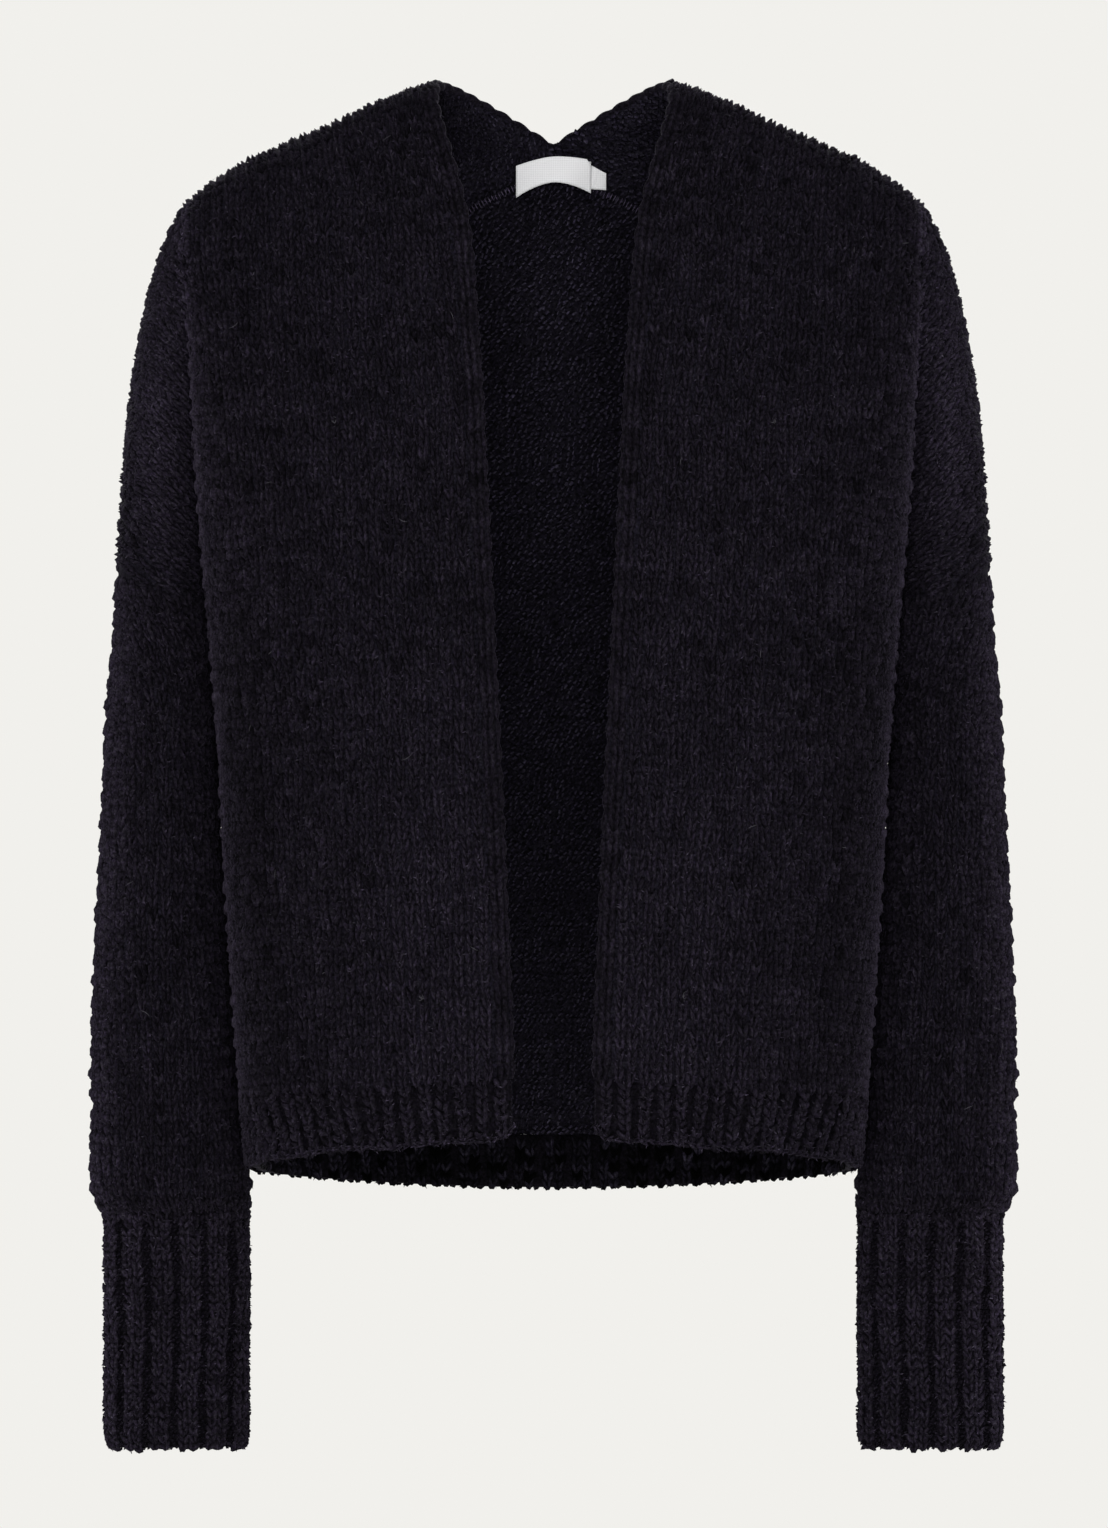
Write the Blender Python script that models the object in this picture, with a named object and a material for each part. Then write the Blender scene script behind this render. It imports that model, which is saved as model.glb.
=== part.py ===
# Open-front chunky knit cardigan, filled out as on an unseen wearer, hollow and open at every edge.
# Sizes in millimetres: X to the picture's right, Y away from the front, Z up, zero between the neck points.
import math

import bpy
import numpy as np

wall = 5.6
seamGap = 0.3
hemZEdge, hemZSide, hemZBack = -571.0, -588.0, -604.0
hemHighFront, hemHighBack = 35.0, 29.0
cuffTop, cuffBottom = -612.0, -741.0
cuffIn, cuffOut, cuffMid, cuffHalf = 166.3, 242.6, 22.0, 17.0
frontRibs, backRibs, cuffRibs = 25, 28, 12
frontLift, backLift, cuffLift = 0.9, 1.1, 1.1
labelWide, labelThick = 41.0, 1.1
labelTop, labelLow = (-38.6, 3.4, 1.6), (-52.6, 7.0, 1.2)  # height in the middle, bow and tilt
tabTop, tabLow = (-45.4, 0.0, -2.4), (-56.2, 0.0, -0.3)

colsFront, rowsLow = 16, 8
creaseFront = (-282.0, -256.0, -230.0, -205.0, -182.0, -160.0, -141.0, -124.0, -108.0, -93.0)
creaseBack = (-282.0, -262.0, -242.0, -222.0, -203.0, -186.0, -171.0, -159.0, -149.0, -140.0)
rowsCrease = len(creaseFront) - 1
rowsRidgeFront, rowsRidgeBack, rowsBackTop = 5, 5, 4
sleeveRows = (-296.0, -322.0, -352.0, -390.0, -432.0, -474.0, -516.0, -556.0, -588.0, -602.0, -608.5, -612.0)

# Half section of the front at a level: depth at the middle, where it ends at the side, and its heading there.
frontTable = {
    "z":      (-93.0, -130.0, -170.0, -210.0, -250.0, -282.0, -336.0, -444.0, -525.0, -606.0),
    "depth":  (-69.0, -88.0, -104.0, -113.0, -117.5, -119.0, -119.5, -118.5, -116.0, -113.0),
    "endX":   (198.0, 195.5, 192.5, 190.0, 187.5, 185.5, 180.5, 174.5, 169.0, 161.5),
    "endY":   (-44.0, -44.0, -38.0, -26.0, -8.0, 12.0, 12.0, 12.0, 12.0, 12.0),
    "turn":   (53.0, 74.0, 92.0, 94.0, 94.0, 93.0, 93.0, 93.0, 93.0, 93.0),
    "edgeX":  (44.3, 41.5, 38.6, 36.6, 34.6, 33.1, 30.6, 25.2, 21.6, 21.2),
}
backTable = {
    "z":      (-140.0, -170.0, -210.0, -250.0, -282.0, -336.0, -444.0, -525.0, -606.0),
    "depth":  (93.0, 99.0, 104.0, 107.0, 108.0, 108.0, 105.0, 102.0, 99.0),
    "endX":   (196.5, 193.0, 190.0, 187.5, 185.5, 180.5, 174.5, 169.0, 161.5),
    "endY":   (62.0, 61.0, 53.0, 37.0, 12.0, 12.0, 12.0, 12.0, 12.0),
    "turn":   (-62.0, -80.0, -92.0, -93.0, -93.0, -93.0, -93.0, -93.0, -93.0),
}
# Shoulder ridge, running on as the outermost line of the upper arm.
ridgeTable = {
    "x": (62.0, 77.5, 98.5, 120.5, 141.5, 163.0, 174.0, 184.5, 195.0, 198.0, 206.0, 212.0, 217.0, 223.0, 228.0,
          232.5, 236.5),
    "y": (0.0, 0.5, 1.0, 1.5, 2.0, 3.0, 3.5, 4.0, 4.0, 4.0, 5.0, 6.0, 8.0, 11.0, 14.0, 17.0, 20.0),
    "z": (-1.0, -6.0, -14.0, -25.0, -34.0, -44.0, -50.0, -57.0, -66.5, -70.0, -83.5, -98.0, -114.0, -143.0, -172.0,
          -220.0, -271.0),
}
# Seam on the back where the fronts, which reach over the shoulders, meet the back.
seamTable = {
    "x": (0.0, 24.0, 48.7, 100.0, 150.0, 198.0),
    "y": (68.0, 71.0, 74.0, 76.0, 71.0, 56.0),
    "z": (-41.5, -53.0, -65.0, -87.0, -103.0, -116.0),
}
# Upper arm from shoulder to armhole seam: heading and reach of the cloth as it leaves the crease.
armTable = {
    "row":    (0.0, 1.0, 2.0, 3.0, 4.0, 5.0, 6.0, 7.0, 8.0),
    "turn":   (53.0, 28.0, 4.0, -16.0, -32.0, -45.0, -58.0, -73.0, -90.0),
    "reach":  (18.0, 16.0, 16.0, 19.0, 23.0, 29.0, 37.0, 46.0, 56.0),
    "reachOut": (20.0, 24.0, 31.0, 38.0, 44.0, 49.0, 53.0, 56.0, 58.0),
    "seamX":  (198.0, 205.5, 210.5, 213.5, 215.5, 216.5, 217.0, 217.0, 217.0),
    "seamY":  (56.0, 55.5, 56.5, 58.5, 60.5, 62.0, 63.5, 65.0, 66.0),
    "seamZ":  (-116.0, -125.0, -141.0, -163.0, -187.0, -211.0, -235.0, -258.0, -279.0),
    "seamTurn": (90.0, 125.0, 148.0, 160.0, 164.0, 165.0, 163.0, 160.0, 156.0),
    "rearTurn": (20.0, 15.0, 8.0, 0.0, -10.0, -24.0, -42.0, -64.0, -90.0),
}
sleeveTable = {
    "z":     (-282.0, -296.0, -340.0, -366.0, -441.0, -498.0, -536.0, -575.0, -592.0, -603.0, -608.5, -612.0),
    "inX":   (186.4, 186.3, 183.6, 181.9, 177.4, 173.2, 170.0, 166.6, 165.8, 165.6, 165.8, 166.3),
    "outX":  (237.5, 238.4, 241.0, 242.3, 246.2, 248.9, 249.8, 250.2, 250.2, 249.0, 246.6, 242.9),
    "midY":  (20.0, 21.0, 24.0, 25.0, 28.0, 28.0, 27.0, 25.0, 24.0, 23.0, 22.5, 22.0),
    "halfY": (48.0, 48.0, 46.0, 44.0, 40.0, 36.0, 33.0, 30.0, 28.5, 26.0, 22.0, 17.5),
}


def column(table, name, at, key="z"):
    keys, values = np.array(table[key]), np.array(table[name])
    order = np.argsort(keys)
    return float(np.interp(at, keys[order], values[order]))


def smooth(table, name, at, key="z"):
    """Value of a column eased between its rows, so that the cloth has no kinks there."""
    step = 9.0
    return sum(column(table, name, at + step * k, key) for k in (-1, 0, 1)) / 3.0


def bezier(a, b, c, d, count):
    t = np.linspace(0.0, 1.0, count + 1)[:, None]
    u = 1.0 - t
    return u**3 * a + 3 * u * u * t * b + 3 * u * t * t * c + t**3 * d


def respace(points, count, start=0.0):
    """The same line with count equal steps, leaving out its first part of length start."""
    steps = np.r_[0.0, np.cumsum(np.linalg.norm(np.diff(points, axis=0), axis=1))]
    at = np.linspace(start, steps[-1], count + 1)
    return np.stack([np.interp(at, steps, points[:, k]) for k in range(points.shape[1])], axis=1)


def unit(v):
    v = np.asarray(v, float)
    return v / np.linalg.norm(v)


def halfSection(table, z, sign):
    """Outline of one half of a level, from the middle to the side or the crease."""
    depth, endX, endY = (column(table, name, z) for name in ("depth", "endX", "endY"))
    turn = math.radians(column(table, "turn", z))
    if -270.0 > z or z > -100.0:
        depth, endX = smooth(table, "depth", z), column(table, "endX", z)
    reach = 0.72 * abs(endY - depth)
    heading = np.array([math.cos(turn), math.sin(turn)])
    end = np.array([endX, endY])
    line = bezier(np.array([0.0, depth]), np.array([0.84 * endX, depth]), end - reach * heading, end, 160)
    return np.c_[line, np.full(len(line), z)]


def frontLine(z, count):
    line = halfSection(frontTable, z, -1)
    edge = column(frontTable, "edgeX", z)
    steps = np.r_[0.0, np.cumsum(np.linalg.norm(np.diff(line, axis=0), axis=1))]
    start = np.interp(edge, line[:, 0], steps) if line[-1, 0] > edge else 0.0
    ordered = np.maximum.accumulate(line[:, 0])
    start = np.interp(edge, ordered[:120], steps[:120])
    return respace(line, count, start)


def backLine(z, count):
    return respace(halfSection(backTable, z, 1), count)


def fromTable(table, names, at, key):
    return np.stack([np.interp(at, table[key], table[name]) for name in names], axis=-1)


def hemSeamZ(part):
    return hemZEdge + hemHighFront + (hemZSide - hemZEdge) * part


def backSeamZ(part):
    """Top of the back hem, from the middle to the side."""
    side = hemZSide + hemHighFront
    return hemZBack + hemHighBack + (side - hemZBack - hemHighBack) * part**2


def blendLevels(low, high, count, maker, cols):
    """Rows of a panel from its hem line, which slopes, up to the level of the underarm."""
    rows = []
    for k in range(count + 1):
        part = k / count
        levels = low + (high - low) * part
        row = np.array([maker(levels[i], cols)[i] for i in range(cols + 1)])
        rows.append(row)
    return rows


def frontPatch():
    cols = colsFront
    parts = np.linspace(0.0, 1.0, cols + 1)
    low = np.array([hemSeamZ(p) for p in parts])
    rows = blendLevels(low, np.full(cols + 1, -282.0), rowsLow, frontLine, cols)
    rows += [frontLine(z, cols) for z in creaseFront[1:]]
    last, before = rows[-1], frontLine(-103.0, cols)
    ridgeX = 62.0 + (198.0 - 62.0) * parts
    ridge = fromTable(ridgeTable, "xyz", ridgeX, "x")
    seamX = np.r_[0.0, np.linspace(0.0, 198.0, cols)]
    seam = fromTable(seamTable, "xyz", seamX, "x")
    seam[0] = (0.0, 65.0, -33.0)
    over = []
    for i in range(cols + 1):
        far = np.linalg.norm(ridge[i] - last[i])
        rise = unit(last[i] - before[i])
        lean = max(0.0, 1.0 - parts[i] / 0.2)
        across = unit((-0.3 * lean, 1.0, 0.02))
        one = bezier(last[i], last[i] + rise * far * 0.36, ridge[i] - across * far * 0.36, ridge[i], 40)
        far = np.linalg.norm(seam[i] - ridge[i])
        down = unit(np.array([0.0, 0.5, -1.0]) + lean * np.array([-1.3, 0.9, 0.2]))
        two = bezier(ridge[i], ridge[i] + across * far * 0.36, seam[i] - down * far * 0.30, seam[i], 40)
        over.append(np.vstack([respace(one, rowsRidgeFront), respace(two, rowsRidgeBack)[1:]]))
    over = np.array(over)
    rows += [over[:, k] for k in range(1, over.shape[1])]
    return np.array(rows).transpose(1, 0, 2)


def backPatch(seam):
    cols = colsFront - 1
    parts = np.linspace(0.0, 1.0, cols + 1)
    low = np.array([backSeamZ(p) for p in parts])
    rows = blendLevels(low, np.full(cols + 1, -282.0), rowsLow, backLine, cols)
    rows += [backLine(z, cols) for z in creaseBack[1:]]
    last, before = rows[-1], backLine(-150.0, cols)
    tops = []
    for i in range(cols + 1):
        far = np.linalg.norm(seam[i] - last[i])
        rise = unit(last[i] - before[i])
        lean = max(0.0, 1.0 - parts[i] / 0.2) * 0.0
        arrive = unit(np.array([0.0, -0.5, 1.0]) + lean)
        line = bezier(last[i], last[i] + rise * far * 0.33, seam[i] - arrive * far * 0.33, seam[i], 40)
        tops.append(respace(line, rowsBackTop))
    tops = np.array(tops)
    rows += [tops[:, k] for k in range(1, tops.shape[1])]
    return np.array(rows).transpose(1, 0, 2)


def armPatches(front, back):
    """Upper arm above the armhole seam: the front's part reaches round to the seam, the back's part from there."""
    count = rowsRidgeFront + rowsRidgeBack
    arm = np.zeros((rowsCrease + 1, count + 1, 3))
    rear = np.zeros((rowsCrease + 1, rowsBackTop + 1, 3))
    crease = front[-1, rowsLow:rowsLow + rowsCrease + 1][::-1]
    fold = back[-1, rowsLow:rowsLow + rowsCrease + 1][::-1]
    for k in range(rowsCrease + 1):
        at = 8.0 * k / rowsCrease
        row = {name: column(armTable, name, at, "row") for name in armTable}
        start = crease[k]
        z = start[2] + 23.0 - 12.0 * k / rowsCrease
        outer = np.array([column(ridgeTable, "x", z), column(ridgeTable, "y", z), z])
        turn = math.radians(row["turn"])
        away = np.array([math.cos(turn), math.sin(turn), 0.25 * (1 - k / rowsCrease)])
        one = bezier(start, start + away * row["reach"], outer - np.array([0.0, row["reachOut"], 0.0]), outer, 60)
        end = np.array([row["seamX"], row["seamY"], row["seamZ"]])
        bend = math.radians(row["seamTurn"])
        heading = unit((math.cos(bend), math.sin(bend), -1.2 * (1 - k / rowsCrease) ** 1.5))
        far = np.linalg.norm(end - outer)
        two = bezier(outer, outer + np.array([0.0, far * 0.45, 0.0]), end - heading * far * 0.38, end, 60)
        arm[k] = np.vstack([respace(one, rowsRidgeFront), respace(two, rowsRidgeBack)[1:]])
        stop = fold[k]
        far = np.linalg.norm(stop - end)
        inward = math.radians(row["rearTurn"])
        arrive = np.array([-math.cos(inward), math.sin(inward), 0.0])
        three = bezier(end, end + heading * far * 0.36, stop - arrive * far * 0.4, stop, 60)
        rear[k] = respace(three, rowsBackTop)[::-1]
    arm[:, 0] = crease
    arm[0] = front[-1, rowsLow + rowsCrease:]
    rear[:, 0] = fold
    rear[0] = back[-1, rowsLow + rowsCrease:]
    rear[:, -1] = arm[:, -1]
    return arm, rear


def sleeveSection(z, cols):
    """Level ring of the sleeve, from its inmost point round the front."""
    inX, outX, midY, halfY = (column(sleeveTable, name, z) for name in ("inX", "outX", "midY", "halfY"))
    angle = np.linspace(0.0, 2 * math.pi, 361)
    power = 0.9
    c, s = np.cos(angle), np.sin(angle)
    x = (inX + outX) / 2 - (outX - inX) / 2 * np.sign(c) * np.abs(c) ** power
    y = midY - halfY * np.sign(s) * np.abs(s) ** power
    return respace(np.c_[x, y, np.full(361, z)], cols)[:-1]


def sleevePatch(arm, rear):
    top = np.vstack([arm[-1], rear[-1][::-1][1:-1]])
    cols = len(top)
    rings = [top]
    for k, z in enumerate(sleeveRows):
        ring = sleeveSection(z, cols)
        keep = max(0.0, 1.0 - (k + 1) / 3.0) ** 1.5
        offset = top - np.array([0.0, 0.0, top[:, 2].mean()])
        offset[:, 2] = offset[:, 2] * keep * 0.6 + z
        ring = ring * (1 - keep) + offset * keep
        ring[:, 2] = z + (top[:, 2] - top[:, 2].mean()) * keep * 0.6
        rings.append(ring)
    rings = np.array(rings)
    return np.concatenate([rings, rings[:, :1]], axis=1)


def quadsOf(grid, base):
    rows, cols = grid.shape[:2]
    index = base + np.arange(rows * cols).reshape(rows, cols)
    return np.stack([index[:-1, :-1], index[1:, :-1], index[1:, 1:], index[:-1, 1:]], axis=-1).reshape(-1, 4)


def weld(points, quads):
    key = np.round(points, 3) + 0.0
    _, first, index = np.unique(key, axis=0, return_index=True, return_inverse=True)
    return points[first], index.reshape(-1)[quads]


def normalsOf(points, quads):
    total = np.zeros_like(points)
    for a, b, c in ((0, 1, 2), (0, 2, 3), (0, 1, 3), (1, 2, 3)):
        p, q, r = (points[quads[:, k]] for k in (a, b, c))
        face = np.cross(q - p, r - p)
        for k in (a, b, c):
            np.add.at(total, quads[:, k], face)
    return total / np.maximum(np.linalg.norm(total, axis=1), 1e-9)[:, None]


def edgeLoop(quads):
    ends = np.concatenate([quads[:, [k, (k + 1) % 4]] for k in range(4)])
    ends = ends[ends[:, 0] != ends[:, 1]]
    have = {tuple(e) for e in ends.tolist()}
    return np.array([e for e in ends.tolist() if (e[1], e[0]) not in have])


def drawBack(points, normals, edges, much):
    """Moves each point of the border into its own piece, so that two pieces meet with a gap."""
    push, count = np.zeros_like(points), np.zeros(len(points))
    sides = {}
    for a, b in edges:
        along = points[b] - points[a]
        mid = normals[a] + normals[b]
        side = unit(np.cross(mid, along))
        for v in (a, b):
            sides.setdefault(int(v), []).append(side)
    for v, found in sides.items():
        mean = sum(found)
        size = np.linalg.norm(mean)
        if size > 1e-6:
            push[v] = mean / size * much * min(1.6, len(found) / max(size, 0.5))
    return points + push


def cloth(points, normals, quads, thick, lift=None):
    """Closed wall: outer face with its lift, plain inner face and a rim round the border."""
    used, flat = np.unique(quads, return_inverse=True)
    quads = flat.reshape(-1, 4)
    points, normals = points[used], normals[used]
    lift = np.zeros(len(points)) if lift is None else lift[used]
    edges = edgeLoop(quads)
    points = drawBack(points, normals, edges, seamGap / 2)
    outer, inner = points + normals * lift[:, None], points - normals * thick
    count = len(points)
    rim = []
    for a, b in edges:
        # The diagonal depends on the points only, so the rims of two pieces at a seam stay parallel.
        if a < b:
            rim += [(b, a, a + count), (b, a + count, b + count)]
        else:
            rim += [(b, a, b + count), (a, a + count, b + count)]
    return np.vstack([outer, inner]), quads.tolist() + (quads[:, ::-1] + count).tolist() + rim


def addPiece(name, points, faces, material, home):
    mesh = bpy.data.meshes.new(name)
    clean = []
    for face in faces:
        seen = []
        for v in face:
            if v not in seen:
                seen.append(int(v))
        if len(seen) > 2:
            clean.append(seen)
    mesh.from_pydata((points / 1000.0).tolist(), [], clean)
    mesh.update()
    mesh.materials.append(material)
    obj = bpy.data.objects.new(name, mesh)
    home.objects.link(obj)
    return obj


def wool(name, colour, rough):
    material = bpy.data.materials.new(name)
    material.use_nodes = True
    shader = material.node_tree.nodes["Principled BSDF"]
    shader.inputs["Base Color"].default_value = (*colour, 1.0)
    shader.inputs["Roughness"].default_value = rough
    material.diffuse_color = (*colour, 1.0)
    return material


def mirrored(grid):
    return (grid * np.array([-1.0, 1.0, 1.0]))[::-1]


def ribLift(part, ribs, high):
    """Height of the ribs along a strip: raised on each rib, level between them."""
    return high * max(0.0, math.cos(2 * math.pi * ribs * part))


def stripPiece(line, ribs, high, tall, rows, closedRing, bottomTurn=0.0, flip=False):
    """Ribbed strip below a line of points, which holds two points to each rib."""
    grid = np.array(line)
    points = grid.reshape(-1, 3)
    quads = quadsOf(grid, 0)
    if flip:
        quads = quads[:, ::-1]
    count = grid.shape[1]
    lift = np.array([high if i % 2 == 1 else 0.0 for i in range(count)])
    lift = np.tile(lift, grid.shape[0])
    if closedRing:
        keyed, index = points, quads
        points, quads = weld(points, quads)
        order = {tuple(np.round(p, 3)): v for p, v in zip(keyed, lift)}
        lift = np.array([order[tuple(np.round(p, 3))] for p in points])
    normals = normalsOf(points, quads)
    normals[:, 2] = 0.0
    normals /= np.linalg.norm(normals, axis=1)[:, None]
    return cloth(points, normals, quads, wall, lift)


def frontHem(side):
    cols = frontRibs * 2
    parts = np.linspace(0.0, 1.0, cols + 1)
    rows = []
    for k, drop in enumerate((0.0, 0.55, 1.0)):
        row = []
        for i, part in enumerate(parts):
            z = hemSeamZ(part) - hemHighFront * drop
            if i == 0 and k == 2:
                z += 5.0
            if i == 1 and k == 2:
                z += 1.2
            point = frontLine(z, cols)[i]
            row.append(point)
        rows.append(row)
    grid = np.array(rows)
    if side < 0:
        grid = grid * np.array([-1.0, 1.0, 1.0])
    return stripPiece(grid, frontRibs, frontLift, hemHighFront, 2, False, flip=side < 0)


def backHem():
    cols = backRibs
    parts = np.linspace(0.0, 1.0, cols + 1)
    rows = []
    for drop in (0.0, 0.55, 1.0):
        row = []
        for i, part in enumerate(parts):
            top = backSeamZ(part)
            low = hemZBack + (hemZSide - hemZBack) * part**2
            row.append(backLine(top + (low - top) * drop, cols)[i])
        rows.append(row)
    half = np.array(rows)
    other = half[:, 1:] * np.array([-1.0, 1.0, 1.0])
    return stripPiece(np.concatenate([other[:, ::-1], half], axis=1), backRibs, backLift, hemHighBack, 2, False,
                      flip=True)


def cuff(side):
    cols = cuffRibs * 4
    rows = []
    for z, draw in ((cuffTop, 0.0), (cuffTop - 45.0, 0.0), (cuffTop - 90.0, 0.0), (cuffBottom + 3.5, 0.0),
                    (cuffBottom, 3.0)):
        angle = np.linspace(0.0, 2 * math.pi, 721)
        c, s = np.cos(angle), np.sin(angle)
        half = (cuffOut - cuffIn) / 2 - draw
        x = (cuffIn + cuffOut) / 2 - half * np.sign(c) * np.abs(c) ** 0.85
        y = cuffMid - (cuffHalf - draw * 0.6) * np.sign(s) * np.abs(s) ** 0.85
        rows.append(respace(np.c_[x, y, np.full(721, z)], cols))
    grid = np.array(rows)
    grid[:, -1] = grid[:, 0]
    if side < 0:
        grid = grid * np.array([-1.0, 1.0, 1.0])
    points, index = grid.reshape(-1, 3), quadsOf(grid, 0)
    lift = np.tile(np.array([0.0, cuffLift * 0.7, cuffLift, cuffLift * 0.7] * cuffRibs + [0.0]), len(rows))
    welded, quads = weld(points, index)
    order = {tuple(np.round(p, 3)): v for p, v in zip(points, lift)}
    lift = np.array([order[tuple(np.round(p, 3))] for p in welded])
    if side < 0:
        quads = quads[:, ::-1]
    normals = normalsOf(welded, quads)
    normals[:, 2] = 0.0
    normals /= np.linalg.norm(normals, axis=1)[:, None]
    return cloth(welded, normals, quads, wall - 0.6, lift)


def labelPiece(x0, x1, top, low, lift, y):
    """Small woven strip, bent out towards the opening in its middle. top and low are middle, bow and tilt."""
    rows = []
    for z in (0.0, 0.5, 1.0):
        row = []
        for x in np.linspace(x0, x1, 13):
            part = 2 * (x - x0) / (x1 - x0) - 1
            high, foot = (mid - bow * abs(part) ** 1.7 + tilt * part for mid, bow, tilt in (top, low))
            row.append((x, y - lift * (1 - part**2) * (0.45 + 0.55 * z) + 3.5 * z, high + (foot - high) * z))
        rows.append(row)
    grid = np.array(rows)
    points, quads = grid.reshape(-1, 3), quadsOf(grid, 0)
    return cloth(points, normalsOf(points, quads), quads, labelThick)


def buildAll():
    for obj in list(bpy.data.objects):
        bpy.data.objects.remove(obj, do_unlink=True)
    home = bpy.data.collections.new("chunky_knit_cardigan")
    bpy.context.scene.collection.children.link(home)
    knit = wool("knit_wool", (0.018, 0.015, 0.021), 0.95)
    ribbed = wool("rib_wool", (0.016, 0.014, 0.019), 0.95)
    woven = wool("label_satin", (0.80, 0.80, 0.80), 0.55)

    front = frontPatch()
    back = backPatch(front[1:, -1])
    back[-1, :rowsLow + 1] = front[-1, :rowsLow + 1]
    back[:, -1] = front[1:, -1]
    arm, rear = armPatches(front, back)
    sleeve = sleevePatch(arm, rear)

    patches = []
    for side, word in ((1, "left"), (-1, "right")):
        for name, grid, turned in (("front_" + word, front, False), ("front_" + word, arm, False),
                                   ("back", back, True), ("back", rear, True), ("sleeve_" + word, sleeve, False)):
            patches.append((name, grid * np.array([side, 1.0, 1.0]), turned == (side > 0)))
    points, quads, owner = [], [], []
    base = 0
    for name, grid, turned in patches:
        found = quadsOf(grid, base)
        if turned:
            found = found[:, ::-1]
        points.append(grid.reshape(-1, 3))
        quads.append(found)
        owner += [name] * len(found)
        base += grid.shape[0] * grid.shape[1]
    points, quads = weld(np.vstack(points), np.vstack(quads))
    normals = normalsOf(points, quads)
    level = (points[:, 2] < -530.0) & (np.abs(points[:, 0]) < 200.0) & (points[:, 2] > -590.0)
    sleeveEnd = np.abs(points[:, 2] - cuffTop) < 0.01
    body = np.zeros(len(points), bool)
    for name in ("front_left", "front_right", "back"):
        rows = quads[[o == name for o in owner]]
        body[np.unique(rows)] = True
    flatten = (level & body) | sleeveEnd
    normals[flatten, 2] = 0.0
    for side in (1, -1):
        underarm = np.argmin(np.linalg.norm(points - sleeve[0, 0] * np.array([side, 1.0, 1.0]), axis=1))
        normals[underarm] = (0.0, 0.0, -1.0)
    normals /= np.linalg.norm(normals, axis=1)[:, None]
    for name in ("back", "front_left", "front_right", "sleeve_left", "sleeve_right"):
        rows = quads[[o == name for o in owner]]
        addPiece(name, *cloth(points, normals, rows, wall), knit, home)
    for side, word in ((1, "left"), (-1, "right")):
        addPiece("hem_front_" + word, *frontHem(side), ribbed, home)
        addPiece("cuff_" + word, *cuff(side), ribbed, home)
    addPiece("hem_back", *backHem(), ribbed, home)
    addPiece("neck_label", *labelPiece(-labelWide / 2, labelWide / 2, labelTop, labelLow, 4.0, 53.7), woven, home)
    addPiece("size_tab", *labelPiece(20.3, 28.8, tabTop, tabLow, 0.0, 56.0), woven, home)


buildAll()
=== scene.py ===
import math

import bpy
import numpy as np
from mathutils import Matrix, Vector


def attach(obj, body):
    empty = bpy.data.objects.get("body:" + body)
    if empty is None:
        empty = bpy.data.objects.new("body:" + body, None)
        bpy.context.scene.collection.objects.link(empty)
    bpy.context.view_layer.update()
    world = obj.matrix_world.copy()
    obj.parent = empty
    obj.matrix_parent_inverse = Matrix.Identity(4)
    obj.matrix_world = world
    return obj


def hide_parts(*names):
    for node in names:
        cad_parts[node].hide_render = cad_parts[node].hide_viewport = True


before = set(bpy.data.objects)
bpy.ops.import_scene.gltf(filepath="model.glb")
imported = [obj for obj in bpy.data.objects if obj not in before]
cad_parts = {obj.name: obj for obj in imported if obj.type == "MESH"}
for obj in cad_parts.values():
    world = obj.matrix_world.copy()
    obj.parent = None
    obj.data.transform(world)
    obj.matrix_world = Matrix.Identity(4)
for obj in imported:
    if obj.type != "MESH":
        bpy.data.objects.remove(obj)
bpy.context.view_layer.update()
print("frame loaded:", len(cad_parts), "nodes")

# The garment's lines, in millimetres, as the solids have them. The front hem's edge rises towards the opening.
hem = {"frontEdge": -571, "side": -588, "back": -604, "highFront": 35, "highBack": 29, "corner": 5.0,
       "cornerLong": 0.03, "rise": 5.0, "riseLong": 0.85, "rows": 5}
# How many columns and rows each patch of cloth has, and how many points the curves under them.
grain = {"cols": 30, "low": 22, "crease": 22, "overFront": 12, "overBack": 12, "backTop": 10, "fine": 60,
         "armFine": 80, "section": 160, "oval": 721, "sleeve": 40}
# How far the handles of the curves reach, as parts of their length.
reach = {"middle": 0.84, "fold": 0.72, "ridge": (0.36, 0.36), "yoke": (0.36, 0.30), "back": (0.33, 0.33),
         "cap": (0.45, 0.38), "rear": (0.36, 0.4)}
# Where the depth of a section is the mean of three heights, so that the hem and the top don't kink.
mean = {"below": -270.0, "above": -100.0, "step": 9.0}
# The ridge of the shoulder. Beside the neck it leans inwards, over the first part of its length.
shoulder = {"neckX": 62.0, "long": 136.0, "wide": 198.0, "neckEnd": (0.0, 65.0, -33.0), "leanPart": 0.2,
            "lean": -0.3, "across": (1.0, 0.02), "fall": (0.0, 0.5, -1.0), "fallLean": (-1.3, 0.9, 0.2),
            "frontFrom": -103.0, "backFrom": -150.0, "arrive": (0.0, -0.5, 1.0)}
# How far the cap of the arm stands above its crease, and how the slanting top of the sleeve becomes level.
cap = {"above": 23.0, "lower": 12.0, "rise": 0.25, "drop": -1.2, "dropEase": 1.5}
level = {"from": -276.0, "long": 62.0, "ease": 1.5, "tilt": 0.6, "square": 0.9}
underarmHeight = -282
creaseFront = (underarmHeight, -256, -230, -205, -182, -160, -141, -124, -108, -93)
creaseBack = (underarmHeight, -262, -242, -222, -203, -186, -171, -159, -149, -140)

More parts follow.
